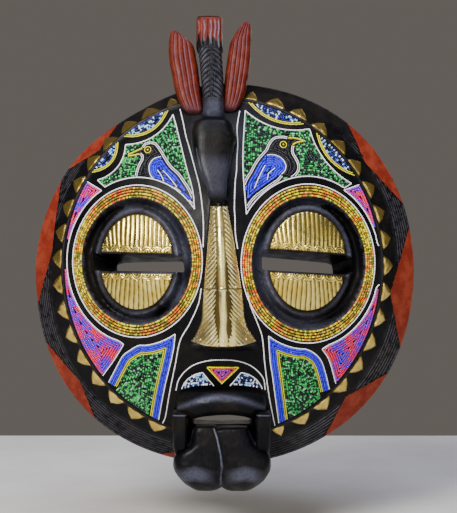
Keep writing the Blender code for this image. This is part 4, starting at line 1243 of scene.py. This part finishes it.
def stripe(value, pitch, half):
    """1 in the middle of evenly spaced lines, 0 outside them."""
    return unit(1 - np.abs((value / pitch) % 1 - 0.5) * pitch / half)


def band(value, low, high, soft):
    """1 between two levels, with soft ends."""
    return unit((value - low) / soft) * unit((high - value) / soft)


def smoothed(x, h, z):
    """Slight waves of hand-smoothed wood."""
    return 0.12 * ripple(x + h, z, 13.0, 31) + 0.05 * ripple(x, z + h, 5.0, 32)


def lip_relief(x, h, z, side, v):
    """A lilac sheen painted along the top of the arched lip."""
    crest = -115.6 - 0.0075 * (x + 3.0) ** 2
    along = 0.45 + 0.55 * bell(x + 10.0, 14.0)
    return smoothed(x, h, z), 0.34 * along * bell(z - crest, 2.6) * unit((h - 60.0) / 10.0)


def post_relief(x, h, z, side, v):
    """A faint line of light painted along the top of a mouth post."""
    return smoothed(x, h, z), 0.2 * band(z, -134.2, -132.6, 0.5) * unit((h - 70.0) / 6.0)


def lobe_relief(x, h, z, side, v):
    """A nearly flat front with a pale seam, a highlight painted along the outer sides and a sheen painted on
    the facets below.
    """
    seam = np.interp(z, *np.array(SEAM).T)
    ahead = unit((h - 50.0) / 10.0)
    seam_line = bell(x - seam, 0.6) * ahead * band(z, -203.0, -145.0, 2.0)
    off = np.abs(x - np.where(x < seam, -28.0, 19.0))
    facet = band(z + 0.22 * off, -198.0, -179.0, 6.0) * unit(1.5 - off / 13.0)
    outer = np.where(x < seam, side < 0, side > 0)
    edge = unit((np.abs(side) - 0.94) / 0.05) * band(z, -176.0, -147.0, 3.0) * outer
    # Painted highlights: lilac on the outer sides and on the facets below; the seam line is pale as well.
    pale = 0.6 * seam_line + 0.45 * edge * ahead + 0.28 * facet * ahead
    return smoothed(x, h, z) - 0.9 * seam_line, unit(pale)


DRIPS = ((-25.6, 233), (-20.2, 223), (-13.6, 220.5), (-9.6, 226.5), (-6.2, 216.5))


def crest_relief(x, h, z, side, v):
    """Stripes on the tail, arched feather cuts on the neck and smooth planes on the beak, with highlights
    painted on the feather ridges, the lower neck and the beak.
    """
    off = np.abs(x + 12.5)
    arch = z + 0.25 * off + 0.055 * off ** 2
    feathers = band(z, 165.0, 218.5, 2.5) * unit(0.35 + off / 6.0)
    ridge = stripe(arch + 1.9, 5.2, 0.9) * feathers * unit((off - 4.0) / 3.0)
    grooves = stripe(x + 28.0, 4.7, 1.3) * band(z, 219.0, 249.0, 2.0)
    push = -1.6 * stripe(arch, 5.2, 1.5) * feathers - 0.8 * grooves
    # Painted highlights: lilac on the feather ridges, the lower neck and the beak's front; the drips below
    # are pale paint on the tail.
    pale = 0.42 * ridge + 0.10 * band(z, 146.5, 168.0, 6.0) + 0.09 * band(z, 66.0, 112.0, 12.0) * (h > 70)
    for middle, foot in DRIPS:
        drip = unit(1.3 - np.abs(x - middle - 0.5 * np.sin(z / 3.1)) / 0.8) * band(z, foot, 247.0, 2.5)
        pale = np.maximum(pale, 0.34 * drip)
    for start, lean in ((-15.0, -0.22), (2.6, 0.045)):
        push -= unit(1 - np.abs(x - start - lean * (z - 66.0)) / 1.1) * band(z, 67.0, 119.0, 5.0)
    return push, pale


def tail_red(x, z):
    """Red stripes on the tail that fade out downwards in points."""
    line = stripe(x + 28.0, 4.7, 1.5)
    reach = 230.5 - 5.0 * (1 - line) + 1.6 * np.sin(x * 1.7)
    return np.where(z < 249.4, np.clip((z - reach) / 2.0, -2, 1.2) - 0.9 * line, -1.0)


def wing_lines(side, v, half):
    """Four lines that run from the tip down to the root."""
    lines = np.max([unit(1.3 - np.abs(side - line) / half) for line in (-0.62, -0.24, 0.12, 0.48)], 0)
    return lines * unit((v - 0.06) / 0.12) * unit((0.98 - v) / 0.04)


def wing_relief(x, h, z, side, v):
    """Long curved grooves with a thin grey edge, and a paler root."""
    ahead = h > 28 - 10 * v
    lines = wing_lines(side, v, 0.055) * ahead
    pale = 0.24 * wing_lines(side - 0.075, v, 0.035) * ahead + 0.10 * unit((166.0 - z) / 10.0)
    return -1.3 * lines + 0.12 * ripple(x, z, 12.0, 51), pale


def wing_red(x, z):
    return 0.9 + 0.4 * ripple(x, z, 30.0, 52)


def wooden_lumps(paint):
    deep = painted_wood("painted_crest", 0.62)
    loft("wood_crest", CREST, 300, 200, 0.5, crest_relief, deep, tail_red)
    for side, wing in (("left", WING_LEFT), ("right", WING_RIGHT)):
        loft("wood_wing_" + side, wing, 160, 200, 0.5, wing_relief, deep, wing_red, 0.1)
    loft("wood_upper_lip", LIP, 140, 100, 0.92, lip_relief, paint)
    for side, x in (("left", -42.3), ("right", 36.3)):
        loft("wood_post_" + side, post(x), 90, 72, 0.36, post_relief, paint, None, 0.2)
    for side, lobe in LOBES.items():
        loft("wood_lobe_" + side, lobe, 120, 190, 0.46, lobe_relief, paint)


# ---------------------------------------------------------------- stage, light and camera

FLOOR_Z = -0.42
CAMERA_PLACE = (0.0035, -1.112, -0.1411)
CAMERA_AWAY, PICTURE_WIDTH = 1.100, 0.457      # from the plane that the picture's width is measured in
LAMPS = (      # name, place in metres, watts, size, colour; all aim at the middle of the face
    ("key", (-1.0, -1.9, 1.2), 96, (1.0, 0.8), (1.0, 0.98, 0.95)),
    ("sky", (0.15, -0.9, 1.6), 40, (1.5, 0.6), (0.70, 0.76, 1.0)),
    ("front", (0.5, -2.5, 0.1), 16, (2.0, 1.6), (1.0, 0.97, 0.93)),
    ("fill", (1.9, -1.5, 0.1), 9, (0.8, 1.4), (0.9, 0.94, 1.0)),
    ("rear", (0.6, 1.9, 0.9), 7, (1.8, 1.4), (1.0, 0.97, 0.93)),
)


def stage_and_light():
    n = Nodes("pale_floor")
    colour = n.mix(n.spread(n.noise(90, 3), 0.3, 0.7), (0.60, 0.58, 0.55), (0.66, 0.64, 0.61))
    n.finish(colour, 0.85, n.bump(n.noise(3, 2), 0.05))
    corners = np.array([(x, y, FLOOR_Z) for x, y in ((-4.0, -3.0), (4.0, -3.0), (4.0, 0.6), (-4.0, 0.6))])
    make_mesh("floor", corners, [np.array([[0, 1, 2, 3]])], [n.material], flat=True)
    for name, place, power, size, colour in LAMPS:
        data = bpy.data.lights.new(name, "AREA")
        data.shape = "RECTANGLE"
        data.size, data.size_y = size
        data.energy = power
        data.color = colour
        made = bpy.data.objects.new(name, data)
        made.location = place
        middle = Vector((0.0, -0.05, DISC_Z * MM))
        made.rotation_euler = (middle - made.location).to_track_quat("-Z", "Y").to_euler()
        bpy.context.scene.collection.objects.link(made)
    world = bpy.data.worlds.new("studio")
    world.use_nodes = True
    world.node_tree.nodes["Background"].inputs["Color"].default_value = (0.13, 0.116, 0.105, 1)
    bpy.context.scene.world = world


def camera():
    """Level view from in front, a little to the right of the disc's middle line."""
    data = bpy.data.cameras.new("camera")
    data.sensor_fit = "HORIZONTAL"
    data.sensor_width = 36
    data.lens = data.sensor_width * CAMERA_AWAY / PICTURE_WIDTH
    data.clip_end = 20
    made = bpy.data.objects.new("camera", data)
    made.location = CAMERA_PLACE
    made.rotation_euler = (math.pi / 2, 0, 0)
    bpy.context.scene.collection.objects.link(made)
    bpy.context.scene.camera = made


# ---------------------------------------------------------------- putting it together

camera()
stage_and_light()
paint = painted_wood("painted_wood", 1.0)
wood_disc(paint, raw_wood())
wooden_lumps(paint)
bead_panels()
single_strings()
brass_work()
nails()
hanging_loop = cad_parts["hanging_loop"]
hanging_loop.data.materials.clear()
hanging_loop.data.materials.append(steel())
